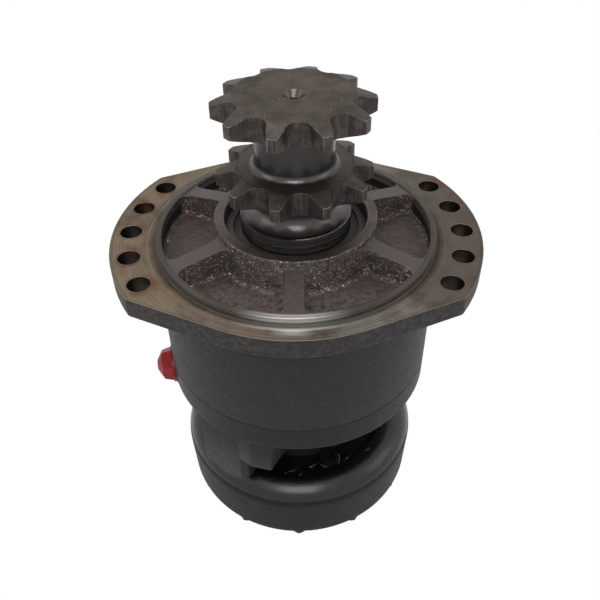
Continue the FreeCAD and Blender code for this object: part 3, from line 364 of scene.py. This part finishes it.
def housingFinish():
    look = housingLook
    scales = look["scales"]
    faceHeight = look["faceHeight"]
    sheet = Sheet("frontHousing")

    # where the flange, its ring, the boss, the bore, the pockets and the flange's edge are
    level = sheet.rise(sheet.up, 0.85, 0.97)
    outside = sheet.rise(sheet.radius, look["pilotRadius"] + 0.0002, look["pilotRadius"] + 0.0005)
    high = sheet.rise(sheet.z, faceHeight - 0.001, faceHeight)
    flange = outside * level * high
    inRing = sheet.rise(sheet.radius, look["ringInside"] - 0.0006, look["ringInside"] - 0.0002)
    ring = inRing * (1 - outside) * high
    boss = level * sheet.rise(sheet.z, look["bossHeight"] - 0.0008, look["bossHeight"])
    bore = sheet.rise(sheet.radius, look["boreRadius"] + 0.0002, look["boreRadius"] - 0.0002)
    inside = sheet.rise(sheet.radius, look["ringInside"], look["ringInside"] - 0.0004)
    inside = inside * (1 - boss) * (1 - bore)
    raw = inside * sheet.rise(sheet.z, look["pocketFloor"] - 0.002, look["pocketFloor"])
    flangeSide = sheet.rise(sheet.z, look["edgeFoot"] - 0.0015, look["edgeFoot"]) * outside * (1 - flange)

    # rust round the mounting holes and in their walls
    angle = sheet.maths("ARCTAN2", sheet.y, sheet.maths("ABSOLUTE", sheet.x))
    step = look["holeStep"]
    folded = sheet.maths("WRAP", angle, step / 2, -step / 2)
    reach = sheet.radius - look["holeCircle"]
    sideways = folded * look["holeCircle"]
    apart = sheet.maths("SQRT", reach * reach + sideways * sideways)
    turn = sheet.maths("ABSOLUTE", angle)
    onEar = sheet.rise(turn, look["lastHole"] + math.radians(2), look["lastHole"])
    patchy = sheet.noise(scales["patchy"], 4, 0.6)
    blotch = sheet.noise(scales["blotch"], 5, 0.62)
    stain = sheet.rise(apart, *look["stain"]) * onEar * sheet.rise(patchy, 0.46, 0.68)
    foxing = sheet.rise(blotch, 0.54, 0.70) * sheet.rise(patchy, 0.38, 0.6) * 0.6
    rusty = sheet.either(stain, foxing)
    holeWall = sheet.rise(apart, look["holeRadius"] + 0.0007, look["holeRadius"]) * onEar * (1 - level)

    # marks of the lathe, grain of the casting and broad changes of tone
    around = sheet.radius + sheet.z
    lathe = sheet.grooves(around, scales["lathe"])
    faint = sheet.grooves(around, scales["faint"], 3)
    grain = sheet.noise(scales["grain"], 4, 0.6)
    fine = sheet.noise(scales["fine"], 2, 0.5)
    sand = sheet.noise(scales["sand"], 4, 0.62)
    sparkle = sheet.noise(scales["sparkle"], 2, 0.5)
    lumps = sheet.noise(scales["lumps"], 5, 0.62)
    wave = sheet.noise(scales["wave"], 3, 0.5)
    broad = sheet.noise(scales["broad"], 2, 0.5)

    # edges, steep walls, rib tops, the front of the pockets that is painted lighter as painted light, and
    # the stretch of ring and flange in front that gets a painted highlight
    soft = sheet.softEdges(look["softEdge"])
    wornLitEdge = sheet.edgeMask(soft) * sheet.rise(sheet.z, faceHeight - 0.001, faceHeight + 0.0004)
    nearEdge = sheet.edgeMask(sheet.softEdges(look["nearEdgeWidth"]))
    steep = sheet.rise(sheet.up, 0.985, 0.80)
    ribTop = raw * level * sheet.rise(sheet.z, look["ribHeight"] - 0.002, look["ribHeight"])
    paintedLightFront = sheet.rise(sheet.y, *look["paintedLightFront"])
    heading = sheet.maths("ABSOLUTE", sheet.maths("ARCTAN2", sheet.x + 0.001, 0 - sheet.y))
    frontGlint = sheet.rise(heading, *look["frontGlint"])
    flangeGlint = sheet.rise(heading, *look["flangeGlint"]) * sheet.band(sheet.radius, *look["flangeGlintBand"])
    lipEnd = look["pilotRadius"] + look["lipWidth"]
    lipBand = sheet.band(sheet.radius, look["ringInside"], lipEnd, look["lipSoft"])

    # tones of the flange, the ring, the boss, the raw pockets and the painted outside
    # the flange face: warm brown at the left, a brighter grey from the centre rightwards as a painted
    # highlight, and painted shade towards the right
    warm = sheet.rise(sheet.x + (broad - 0.5) * 0.12, *look["warmSide"])
    face = sheet.blend(warm, look["flangeHighlightGrey"], look["flangeWarm"])
    shadedSide = sheet.rise(sheet.x + (broad - 0.5) * 0.08, *look["shadedSide"])
    face = sheet.blend(shadedSide, face, look["flangeShadedSide"])
    dull = sheet.rise(patchy + (grain - 0.5) * 0.5, 0.44, 0.64) * 0.45
    dull = dull + sheet.rise(faint, 0.42, 0.62) * 0.25
    dull = dull + sheet.rise(blotch, 0.48, 0.64) * 0.28
    face = sheet.blend(dull, face, look["flangeDull"])
    scuffed = sheet.noise(1.0, 3, 0.7, sheet.scaled(*look["scuffs"]))
    face = sheet.blend(sheet.rise(scuffed, 0.66, 0.74) * 0.4, face, look["scratch"])
    # the flange face darker within a few millimetres of every edge and corner
    face = sheet.blend(nearEdge * 0.55, face, look["flangeDull"])
    face = sheet.blend(rusty * 0.8, face, look["rust"])
    steel = sheet.blend(sheet.rise(faint, 0.3, 0.7), look["steel"], look["steelDark"])
    bossTone = sheet.blend(sheet.rise(wave, 0.4, 0.65) * 0.5, look["bossSteel"], look["rawDark"])
    pitted = sand * 0.6 + lumps * 0.4
    rawTone = sheet.blend(sheet.rise(pitted, 0.56, 0.38) * 0.6, look["raw"], look["rawDark"])
    # the pockets near the front painted lighter, as painted light
    rawTone = sheet.blend(paintedLightFront * sheet.rise(lumps, 0.35, 0.55) * 0.8, rawTone, look["rawLit"])
    brown = sheet.rise(wave, 0.46, 0.62) * sheet.rise(grain, 0.44, 0.6) * 0.6
    rawTone = sheet.blend(brown, rawTone, look["rawBrown"])
    rawTone = sheet.blend(ribTop * 0.85, rawTone, look["ribTone"])
    glint = sheet.rise(sparkle + (sand - 0.5) * 0.8 + (wave - 0.5) * 0.3, 0.62, 0.72)
    glint = glint * (0.12 + steep * 0.75) * (1 - ribTop * 0.8)
    rawTone = sheet.blend(glint, rawTone, look["rawGlint"])
    skin = sheet.blend(sheet.rise(lumps, 0.35, 0.6) * 0.7, look["castSkin"], look["paintDark"])
    paint = sheet.blend(sheet.rise(lumps, 0.35, 0.62) * 0.5, look["paint"], look["paintDark"])
    paint = sheet.blend(flangeSide, paint, skin)

    # the tones laid over each other, then edge wear that also carries a painted highlight, and the painted
    # highlight at the front
    colour = sheet.blend(raw, paint, rawTone)
    colour = sheet.blend(ring, colour, steel)
    colour = sheet.blend(flange, colour, face)
    colour = sheet.blend(boss, colour, bossTone)
    colour = sheet.blend(bore * sheet.rise(sheet.z, *look["boreSeen"]), colour, look["bossSteel"])
    holeTone = sheet.blend(sheet.rise(patchy, 0.50, 0.66) * 0.4, look["holeDark"], look["rust"])
    colour = sheet.blend(holeWall, colour, holeTone)
    # edges lightened as real wear and as a painted highlight
    shine = wornLitEdge * (0.25 + (1 - raw) * 0.40)
    colour = sheet.blend(shine, colour, look["bright"])
    # painted highlight on the front of the ring and on a spot of the flange just outside it
    ringGlint = frontGlint * lipBand * (1 - raw) * high * sheet.rise(faint, 0.30, 0.55)
    colour = sheet.blend(ringGlint * 0.62 + flangeGlint * flange * 0.6, colour, look["frontHighlight"])

    # gloss, metal and relief
    machined = sheet.either(ring, flange, boss, bore, holeWall, wornLitEdge * (1 - raw))
    rough = 0.55 + (lumps - 0.5) * 0.3
    worked = 0.40 + faint * 0.12 + rusty * 0.3 * flange - ring * 0.14
    rough = rough * (1 - machined) + machined * worked - raw * 0.18
    metal = machined * (0.88 - rusty * 0.5 * flange) + raw * (1 - machined) * (0.22 + glint * 0.6)

    cast = 1 - machined
    height = lumps * 0.5 + grain * 0.35 + sand * raw * (0.5 + steep * 0.7) * (1 - ribTop * 0.6)
    depth = cast * (0.4 + raw * 0.8 + flangeSide * 0.9)
    normal = sheet.bump(height * depth, look["castDepth"], soft)
    marks = (lathe * 0.55 + faint * 0.8) * (0.5 + lipBand * 14) + fine * 0.6
    normal = sheet.bump(marks * machined, look["turnedDepth"], normal)
    return sheet.shade({"Base Color": colour, "Roughness": rough, "Metallic": metal, "Normal": normal})


dress("front_housing", housingFinish())
print("front housing dressed")


# Painted castings below the seam

castSurface = {"lumps": 230, "grain": 1000, "fine": 3000, "wave": 45, "depth": 0.0005, "softEdge": 0.0007}

rearLook = {
    "paint": tint(35, 34, 38),
    "paintDark": tint(26, 25, 29),
    "rimPaint": tint(27, 26, 30),
    "rimStart": -0.1335,
    "bare": tint(104, 100, 96),
    "portCentres": [(-0.0723, -0.0612, -0.1515), (-0.0723, -0.0612, -0.1775)],
    "portDirection": (-0.8712, 0.4909, 0.0),
    "spotRadius": 0.0127,
    "portDepth": 0.023,
}


def paintedCasting(name, look, bareMask=None):
    sheet = Sheet(name)
    lumps = sheet.noise(castSurface["lumps"], 5, 0.62)
    grain = sheet.noise(castSurface["grain"], 4, 0.6)
    fine = sheet.noise(castSurface["fine"], 2, 0.5)
    wave = sheet.noise(castSurface["wave"], 3, 0.5)
    shade = sheet.rise(wave, 0.3, 0.7) * 0.4 + sheet.rise(lumps, 0.4, 0.65) * 0.4
    tone = sheet.blend(shade, look["paint"], look["paintDark"])
    if "rimPaint" in look:
        onRim = sheet.rise(sheet.z, look["rimStart"], look["rimStart"] + 0.002)
        tone = sheet.blend(onRim * (0.6 + lumps * 0.5), tone, look["rimPaint"])
    rough = 0.46 + (lumps - 0.5) * 0.25 + (fine - 0.5) * 0.15
    metal = 0.0
    height = lumps * 0.6 + grain * 0.3
    if bareMask is not None:
        bare = bareMask(sheet, look)
        tone = sheet.blend(bare, tone, look["bare"])
        rough = rough * (1 - bare) + bare * 0.34
        metal = bare * 0.9
        height = height * (1 - bare * 0.9)
    normal = sheet.bump(height, castSurface["depth"], sheet.softEdges(castSurface["softEdge"]))
    changing = {"Base Color": tone, "Roughness": rough, "Metallic": metal, "Normal": normal}
    return sheet.shade(changing, {"Specular IOR Level": specular["paint"]})


def portMask(sheet, look):  # bare metal in and round the two ports
    direction = look["portDirection"]
    along = sheet.x * direction[0] + sheet.y * direction[1]
    across = sheet.x * -direction[1] + sheet.y * direction[0]
    masks = []
    for centre in look["portCentres"]:
        middle = centre[0] * -direction[1] + centre[1] * direction[0]
        sideways = across - middle
        tall = sheet.z - centre[2]
        apart = sheet.maths("SQRT", sideways * sideways + tall * tall)
        face = centre[0] * direction[0] + centre[1] * direction[1]
        deepest = face - look["portDepth"]
        mask = sheet.rise(apart, look["spotRadius"] + 0.0002, look["spotRadius"])
        mask = mask * sheet.rise(along, deepest - 0.001, deepest)
        mask = mask * sheet.rise(along, face + 0.0006, face + 0.0003)
        masks.append(mask)
    return sheet.either(*masks)


dress("rear_housing", paintedCasting("rearHousing", rearLook, bareMask=portMask))

drumLook = {
    "gloss": tint(6, 6, 7),
    "satin": tint(23, 23, 27),
    "satinDark": tint(14, 14, 18),
    "glossEnd": -0.2120,        # height below which the paint is satin
    "coat": 0.6,
    "coatRough": 0.24,
    "softEdge": 0.0008,
    "scales": {"lumps": 190, "peel": 520, "fine": 1600, "puddle": 60, "drops": 240, "dropPatches": 55},
    "depths": {"puddles": 0.0008, "peel": 0.0004, "drops": 0.0011, "fine": 0.00012},
}


def drumFinish():
    look = drumLook
    scales = look["scales"]
    depths = look["depths"]
    sheet = Sheet("brakeDrum")
    wall = sheet.rise(sheet.z, look["glossEnd"], look["glossEnd"] - 0.0025)
    gloss = 1 - wall
    lumps = sheet.noise(scales["lumps"], 4, 0.6)
    peel = sheet.noise(scales["peel"], 2, 0.5)
    fine = sheet.noise(scales["fine"], 3, 0.55)
    puddle = sheet.noise(scales["puddle"], 3, 0.5)
    blobs = sheet.cells(scales["drops"])
    drops = sheet.rise(blobs, 0.22, 0.02) * sheet.rise(sheet.noise(scales["dropPatches"], 2), 0.52, 0.62)
    satin = sheet.blend(sheet.rise(lumps, 0.35, 0.65), look["satin"], look["satinDark"])
    colour = sheet.blend(wall, look["gloss"], satin)
    rough = (0.24 + fine * 0.10) * gloss + wall * (0.48 + fine * 0.12)
    coat = gloss * look["coat"]
    normal = sheet.softEdges(look["softEdge"])
    normal = sheet.bump(lumps * 0.4 + puddle * 0.8, depths["puddles"], normal)
    normal = sheet.bump(peel * gloss, depths["peel"], normal)
    normal = sheet.bump(drops * gloss, depths["drops"], normal)
    normal = sheet.bump(fine, depths["fine"], normal)
    changing = {"Base Color": colour, "Roughness": rough, "Coat Weight": coat, "Normal": normal}
    fixed = {"Metallic": 0.0, "Coat Roughness": look["coatRough"], "Specular IOR Level": specular["paint"]}
    return sheet.shade(changing, fixed)


dress("brake_housing", drumFinish())
coverLook = {"paint": tint(28, 28, 31), "paintDark": tint(19, 19, 22)}
dress("brake_cover", paintedCasting("brakeCover", coverLook))
dress("cover_bolts", paintedCasting("coverBolts", coverLook))
print("port housing and brake dressed")


# Sprocket shaft: milled teeth, turned faces, polished roots

shaftLook = {
    "face": tint(74, 65, 57),
    "faceDark": tint(52, 46, 40),
    "mouth": tint(88, 83, 79),
    "flank": tint(80, 74, 71),
    "flankDark": tint(42, 39, 38),
    "brown": tint(96, 72, 54),
    "neck": tint(64, 62, 61),
    "litFillet": tint(80, 78, 77),
    "flare": tint(66, 62, 60),
    "collar": tint(56, 53, 52),
    "bright": tint(178, 172, 162),
    "neckRadius": 0.0405,           # radii and heights: the neck with its roots, the parts below it
    "neckFoot": 0.0612,
    "neckTop": 0.0952,
    "filletTop": 0.0700,
    "flareTop": 0.0420,
    "collarTop": 0.0212,
    "tipRadius": 0.0572,
    "mouthRadius": 0.0090,
    "mouthFoot": 0.1035,
    "softEdge": 0.0006,
    "turnedDepth": 0.00009,
    "scarDepth": 0.00012,
    "flareCoat": 0.4,
    "coatRough": 0.2,
    "scales": {"lathe": 3600, "faint": 520, "grain": 700, "cloud": 55, "patch": 140},
    "scratches": (900, 60, 300),
    "crossScratches": (120, 1100, 300),
    "upright": (520, 520, 40),
}


def shaftFinish():
    look = shaftLook
    scales = look["scales"]
    collarTop = look["collarTop"]
    sheet = Sheet("sprocketShaft")

    # where the level faces, the neck, its root, the flare and the collar are
    flat = sheet.rise(sheet.maths("ABSOLUTE", sheet.up), 0.93, 0.985)
    core = sheet.rise(sheet.radius, look["neckRadius"] + 0.002, look["neckRadius"])
    between = sheet.band(sheet.z, look["neckFoot"], look["neckTop"], 0.0006)
    below = sheet.rise(sheet.z, look["flareTop"] + 0.0008, look["flareTop"])
    neck = core * between
    collar = sheet.rise(sheet.z, collarTop + 0.0004, collarTop)
    litFillet = neck * sheet.rise(sheet.z, look["filletTop"], look["filletTop"] - 0.006)
    flare = below * (1 - collar)
    polished = sheet.either(neck, below)

    # marks of the lathe and the mill, scratches and clouds
    around = sheet.radius + sheet.z
    lathe = sheet.grooves(around, scales["lathe"])
    faint = sheet.grooves(around, scales["faint"], 3)
    grain = sheet.noise(scales["grain"], 4, 0.6)
    cloud = sheet.noise(scales["cloud"], 4, 0.6)
    patch = sheet.noise(scales["patch"], 3, 0.6)
    scratch = sheet.noise(1.0, 2, 0.6, sheet.scaled(*look["scratches"]))
    crossScratch = sheet.noise(1.0, 2, 0.6, sheet.scaled(*look["crossScratches"]))
    upright = sheet.noise(1.0, 3, 0.6, sheet.scaled(*look["upright"]))
    lines = sheet.rise(scratch, 0.67, 0.73) + sheet.rise(crossScratch, 0.69, 0.75)

    # worn edges, lightened as real wear and as a painted highlight, most on the tooth tips and the collar's
    # lip
    soft = sheet.softEdges(look["softEdge"])
    wornLitEdge = sheet.edgeMask(soft)
    tip = sheet.rise(sheet.radius, look["tipRadius"] - 0.0017, look["tipRadius"])
    lip = sheet.band(sheet.z, collarTop - 0.0004, collarTop + 0.001, 0.0004)
    shine = wornLitEdge * (0.14 + tip * 0.7 + lip * 0.6) * (0.5 + sheet.rise(grain, 0.4, 0.6) * 0.5)

    # tones of the level faces, the tooth sides and the turned parts
    tone = sheet.blend(sheet.rise(cloud, 0.38, 0.65), look["face"], look["faceDark"])
    tone = sheet.blend(lines * 0.22, tone, look["bright"])
    mottle = sheet.rise(patch * 0.6 + upright * 0.4, 0.40, 0.58)
    side = sheet.blend(mottle * 0.7, look["flank"], look["flankDark"])
    side = sheet.blend(sheet.rise(patch, 0.60, 0.70) * 0.25, side, look["brown"])
    tone = sheet.blend(flat, side, tone)
    tone = sheet.blend(neck, tone, look["neck"])
    # the neck's root painted lighter, a painted highlight
    tone = sheet.blend(litFillet * 0.8, tone, look["litFillet"])
    tone = sheet.blend(flare, tone, look["flare"])
    tone = sheet.blend(collar, tone, look["collar"])
    tone = sheet.blend(shine, tone, look["bright"])
    nearHole = sheet.rise(sheet.radius, look["mouthRadius"] + 0.001, look["mouthRadius"])
    mouth = nearHole * sheet.rise(sheet.z, look["mouthFoot"], look["mouthFoot"] + 0.0015) * (1 - flat)
    tone = sheet.blend(mouth * 0.7, tone, look["mouth"])

    # gloss, metal and relief
    rough = flat * (0.48 + grain * 0.12) + (1 - flat) * (0.34 + grain * 0.16)
    rough = rough * (1 - polished) + polished * (0.23 + faint * 0.08)
    rough = rough + flare * 0.05 - mouth * 0.2
    metal = flat * 0.92 + (1 - flat) * (0.58 + polished * 0.3) - flare * (1 - flat) * 0.3
    marks = (lathe * 0.5 + faint * 0.8) * (polished * 0.6 + collar * 9 + flat * 0.4)
    normal = sheet.bump(marks, look["turnedDepth"], soft)
    scarred = grain * 0.9 * (1 - polished) - lines * 0.6 + upright * (1 - flat) * (0.7 - polished * 0.3)
    normal = sheet.bump(scarred, look["scarDepth"], normal)
    changing = {"Base Color": tone, "Roughness": rough, "Metallic": metal, "Normal": normal}
    changing["Coat Weight"] = flare * look["flareCoat"]
    return sheet.shade(changing, {"Coat Roughness": look["coatRough"]})


dress("sprocket_shaft", shaftFinish())
print("sprocket shaft dressed")


# Plain finishes of the smaller nodes, each a metal, rubber or plastic with its own grain

plainSurface = {"cloud": 60, "turned": 1800, "depth": 0.0001, "softEdge": 0.0004}


def plainFinish(name, look):
    sheet = Sheet(name)
    grain = sheet.noise(look["grain"], 4, 0.6)
    cloud = sheet.noise(plainSurface["cloud"], 3, 0.5)
    turned = sheet.grooves(sheet.radius, plainSurface["turned"]) * 0.5
    turned = turned + sheet.grooves(sheet.z, plainSurface["turned"]) * 0.5
    tone = sheet.blend(sheet.rise(cloud * 0.5 + grain * 0.5, 0.38, 0.62), look["tone"], look["shade"])
    rough = look["rough"] + (grain - 0.5) * 0.2
    height = grain * look["pitting"] + turned * look["marks"]
    normal = sheet.bump(height, plainSurface["depth"], sheet.softEdges(plainSurface["softEdge"]))
    changing = {"Base Color": tone, "Roughness": rough, "Normal": normal}
    return sheet.shade(changing, {"Metallic": look["metal"]})


plainLooks = {
    "groundSteel": {
        "tone": tint(168, 168, 170), "shade": tint(140, 140, 142), "rough": 0.22,
        "metal": 0.95, "grain": 1500, "pitting": 0.2, "marks": 0.4,
        "nodes": ["outer_bearing_cup", "outer_bearing_cone", "outer_bearing_rollers", "inner_bearing_cup",
                  "inner_bearing_cone", "inner_bearing_rollers", "pistons", "cam_rollers", "cam_ring",
                  "cam_ring_pins"],
    },
    "turnedSteel": {
        "tone": tint(138, 136, 134), "shade": tint(104, 102, 100), "rough": 0.34,
        "metal": 0.9, "grain": 900, "pitting": 0.3, "marks": 0.8,
        "nodes": ["bearing_nut", "lock_washer", "brake_shaft", "brake_hub", "steel_discs",
                  "outer_bearing_cage", "inner_bearing_cage"],
    },
    "blockIron": {
        "tone": tint(112, 110, 108), "shade": tint(86, 84, 83), "rough": 0.42,
        "metal": 0.75, "grain": 700, "pitting": 0.6, "marks": 0.4,
        "nodes": ["cylinder_block", "distributor", "brake_piston"],
    },
    "springSteel": {
        "tone": tint(92, 94, 98), "shade": tint(70, 72, 76), "rough": 0.36,
        "metal": 0.9, "grain": 1100, "pitting": 0.3, "marks": 0.2,
        "nodes": ["distributor_spring", "hub_snap_rings", "brake_spring"],
    },
    "blackScrew": {
        "tone": tint(34, 34, 36), "shade": tint(22, 22, 24), "rough": 0.36,
        "metal": 0.6, "grain": 1300, "pitting": 0.4, "marks": 0.3,
        "nodes": ["housing_screws", "brake_screws", "brake_port_plug"],
    },
    "sealSteel": {
        "tone": tint(74, 68, 64), "shade": tint(48, 44, 42), "rough": 0.36,
        "metal": 0.6, "grain": 900, "pitting": 0.4, "marks": 2.0,
        "nodes": ["seal_case"],
    },
    "sealLip": {
        "tone": tint(44, 41, 40), "shade": tint(32, 30, 29), "rough": 0.42,
        "metal": 0.1, "grain": 1400, "pitting": 0.6, "marks": 1.6,
        "nodes": ["shaft_seal"],
    },
    "blackRubber": {
        "tone": tint(30, 29, 30), "shade": tint(22, 21, 22), "rough": 0.5,
        "metal": 0.0, "grain": 1600, "pitting": 0.7, "marks": 0.4,
        "nodes": ["brake_seal", "brake_piston_seals", "cover_seal"],
    },
    "ringPlastic": {
        "tone": tint(84, 66, 48), "shade": tint(66, 52, 38), "rough": 0.45,
        "metal": 0.0, "grain": 1200, "pitting": 0.3, "marks": 0.5,
        "nodes": ["piston_rings", "distributor_rings"],
    },
    "bronzeLining": {
        "tone": tint(150, 118, 74), "shade": tint(112, 86, 54), "rough": 0.6,
        "metal": 0.5, "grain": 1400, "pitting": 0.9, "marks": 0.2,
        "nodes": ["friction_discs"],
    },
    "redPlastic": {
        "tone": tint(142, 20, 22), "shade": tint(112, 13, 16), "rough": 0.4,
        "metal": 0.0, "grain": 500, "pitting": 0.5, "marks": 0.1,
        "nodes": ["drain_plug"],
    },
}

for finishName, finishLook in plainLooks.items():
    material = plainFinish(finishName, finishLook)
    for nodeName in finishLook["nodes"]:
        dress(nodeName, material)
print("smaller nodes dressed")


# Cheek over the front face of the port block: bevelled, slightly turned, and stepped at its foot

cheekLook = {
    "turn": math.radians(-119.4),   # way that the block's face looks
    "upper": [                      # outlines: along the face, and out from the axis
        (0.0, 0.1010), (0.0045, 0.1074), (0.0176, 0.1090), (0.0340, 0.1045), (0.0340, 0.075),
        (0.010, 0.075),
    ],
    "lower": [
        (-0.0339, 0.1044), (0.0050, 0.1075), (0.0100, 0.1026), (0.0100, 0.075), (0.0, 0.075),
        (-0.009, 0.1016), (-0.0339, 0.1016),
    ],
    "top": -0.131,
    "step": -0.165,
    "foot": -0.193,
    "bevel": 0.0011,
    "bevelSteps": 3,
    "flatFrom": 0.00005,            # faces of this area and more stay flat, in square metres
}


def addPrism(mesh, outline, low, high):
    turn = cheekLook["turn"]
    shape = bmesh.new()
    outward = Vector((math.cos(turn), math.sin(turn), 0))
    along = Vector((-math.sin(turn), math.cos(turn), 0))
    rings = []
    for height in (low, high):
        level = Vector((0, 0, height))
        rings.append([shape.verts.new(along * side + outward * out + level) for side, out in outline])
    count = len(outline)
    shape.faces.new(rings[0])
    shape.faces.new(list(reversed(rings[1])))
    for index in range(count):
        after = (index + 1) % count
        shape.faces.new((rings[0][index], rings[1][index], rings[1][after], rings[0][after]))
    bmesh.ops.recalc_face_normals(shape, faces=shape.faces)
    bmesh.ops.bevel(shape, geom=list(shape.edges), offset=cheekLook["bevel"],
                    segments=cheekLook["bevelSteps"], profile=0.5, affect="EDGES")
    shape.from_mesh(mesh)
    shape.to_mesh(mesh)
    shape.free()


creaseAngle = math.radians(32)


def addPiece(name, mesh, node, body, largestSmooth=1.0):  # the piece takes the finish of a node
    mesh.materials.append(nodes[node].data.materials[0])
    for polygon in mesh.polygons:
        polygon.use_smooth = polygon.area < largestSmooth
    mesh.set_sharp_from_angle(angle=creaseAngle)
    piece = bpy.data.objects.new(name, mesh)
    bpy.context.scene.collection.objects.link(piece)
    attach(piece, body)


def makeCheek():
    look = cheekLook
    mesh = bpy.data.meshes.new("portBlockCheek")
    addPrism(mesh, look["upper"], look["step"], look["top"])
    addPrism(mesh, look["lower"], look["foot"], look["top"])
    addPiece("portBlockCheek", mesh, "rear_housing", "motor_body", look["flatFrom"])


makeCheek()
print("port block cheek made")


# Threads in the shaft's centre hole and in the two ports

threadLook = {
    "steps": 36,            # points to a turn
    "skin": 0.00006,        # how far the root sits in the wall
    "rootHalf": 0.46,       # half widths, as shares of the pitch
    "crestHalf": 0.06,
    "runOut": 0.5,          # turns over which it fades at either end
    "centre": {
        "node": "sprocket_shaft", "body": "drive_shaft", "slot": "forged_shaft", "inward": (0, 0, -1),
        "radius": 0.005, "pitch": 0.00175, "depth": 0.0008, "first": 0.0016, "last": 0.0120,
    },
    "port": {
        "node": "rear_housing", "body": "motor_body", "slot": "painted_casting",
        "inward": (0.871214, -0.490904, 0),
        "radius": 0.010, "pitch": 0.0018, "depth": 0.0010, "first": 0.0022, "last": 0.0190,
    },
    "mouths": {
        "centreThread": ("centre", (0, 0, 0.1088)),
        "upperPortThread": ("port", (-0.072299, -0.061189, -0.1515)),
        "lowerPortThread": ("port", (-0.072299, -0.061189, -0.1775)),
    },
}


def makeThread(name, kind, mouth):
    steps = threadLook["steps"]
    runOut = threadLook["runOut"]
    cut = threadLook[kind]
    first = cut["first"]
    pitch = cut["pitch"]
    axis = Vector(cut["inward"]).normalized()
    side = axis.orthogonal().normalized()
    other = axis.cross(side)
    reach = axis * pitch * threadLook["rootHalf"]
    flat = axis * pitch * threadLook["crestHalf"]
    total = int((cut["last"] - first) / pitch * steps)
    shape = bmesh.new()
    sections = []
    for index in range(total + 1):
        angle = index / steps * math.tau
        outward = side * math.cos(angle) + other * math.sin(angle)
        middle = Vector(mouth) + axis * (first + index / steps * pitch)
        fade = min(1.0, index / steps / runOut, (total - index) / steps / runOut)
        root = outward * (cut["radius"] + threadLook["skin"])
        crest = outward * (cut["radius"] - cut["depth"] * fade)
        points = (middle + root - reach, middle + crest - flat, middle + crest + flat, middle + root + reach)
        sections.append([shape.verts.new(point) for point in points])
    for before, after in zip(sections, sections[1:]):
        for corner in range(4):
            beyond = (corner + 1) % 4
            shape.faces.new((before[corner], before[beyond], after[beyond], after[corner]))
    shape.faces.new(sections[0])
    shape.faces.new(sections[-1])
    bmesh.ops.recalc_face_normals(shape, faces=shape.faces)
    mesh = bpy.data.meshes.new(name)
    shape.to_mesh(mesh)
    shape.free()
    addPiece(name, mesh, cut["node"], cut["body"])


for threadName, (threadKind, threadMouth) in threadLook["mouths"].items():
    makeThread(threadName, threadKind, threadMouth)
print("threads cut")


# Drops of thick black paint that dried in the dish of the brake drum

dropLook = {
    "large": [                           # place and radius
        (-0.0066, -0.0790, 0.0058),
        (0.0140, -0.0700, 0.0046),
        (0.0400, -0.0680, 0.0052),
    ],
    "smallCount": 12,
    "smallRadius": (0.0008, 0.0018),
    "smallSpread": (-1.95, -0.75),       # headings between which they fell
    "smallReach": (0.074, 0.086),
    "height": 0.46,                      # shares of the radius
    "sunk": 0.12,
    "stretch": (1.0, 1.5),
    "wobble": (0.10, 0.06),              # of the outline, twice and three times round
    "around": 20,
    "levels": 5,
    "seed": 11,
}


def addDrop(shape, drum, x, y, radius, chance):
    look = dropLook
    hit, place, normal, _ = drum.ray_cast(Vector((x, y, 0)), Vector((0, 0, -1)))
    if not hit:
        return
    side = normal.orthogonal().normalized()
    other = normal.cross(side)
    stretch = chance.uniform(*look["stretch"])
    lean = chance.uniform(0, math.tau)
    around = look["around"]
    levels = look["levels"]
    twice, thrice = look["wobble"]
    height = normal * radius * look["height"]
    base = place - normal * radius * look["sunk"]
    rings = []
    for step in range(levels):
        tilt = step / levels * math.pi / 2
        ring = []
        for index in range(around):
            angle = index / around * math.tau
            wobble = 1 + twice * math.sin(2 * angle + lean) + thrice * math.sin(3 * angle - lean)
            reach = radius * math.cos(tilt) * wobble
            flat = side * math.cos(angle) * reach * stretch + other * math.sin(angle) * reach / stretch
            ring.append(shape.verts.new(base + flat + height * math.sin(tilt)))
        rings.append(ring)
    top = shape.verts.new(base + height)
    for low, high in zip(rings, rings[1:]):
        for index in range(around):
            after = (index + 1) % around
            shape.faces.new((low[index], low[after], high[after], high[index]))
    for index in range(around):
        shape.faces.new((rings[-1][index], rings[-1][(index + 1) % around], top))
    shape.faces.new(list(reversed(rings[0])))


def makeDrops():
    look = dropLook
    chance = random.Random(look["seed"])
    drum = nodes["brake_housing"]
    shape = bmesh.new()
    for x, y, radius in look["large"]:
        addDrop(shape, drum, x, y, radius, chance)
    for _ in range(look["smallCount"]):
        heading = chance.uniform(*look["smallSpread"])
        reach = chance.uniform(*look["smallReach"])
        radius = chance.uniform(*look["smallRadius"])
        addDrop(shape, drum, reach * math.cos(heading), reach * math.sin(heading), radius, chance)
    bmesh.ops.recalc_face_normals(shape, faces=shape.faces)
    mesh = bpy.data.meshes.new("paintDrops")
    shape.to_mesh(mesh)
    shape.free()
    addPiece("paintDrops", mesh, "brake_housing", "motor_body")


makeDrops()
print("paint drops set")


# Brake spring, a copy of its node set on the motor body in its place


def makeSpring():
    source = nodes["brake_spring"]
    piece = bpy.data.objects.new("brakeDiscSpring", source.data.copy())
    bpy.context.scene.collection.objects.link(piece)
    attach(piece, "motor_body")
    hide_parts("brake_spring")
    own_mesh(piece)


makeSpring()
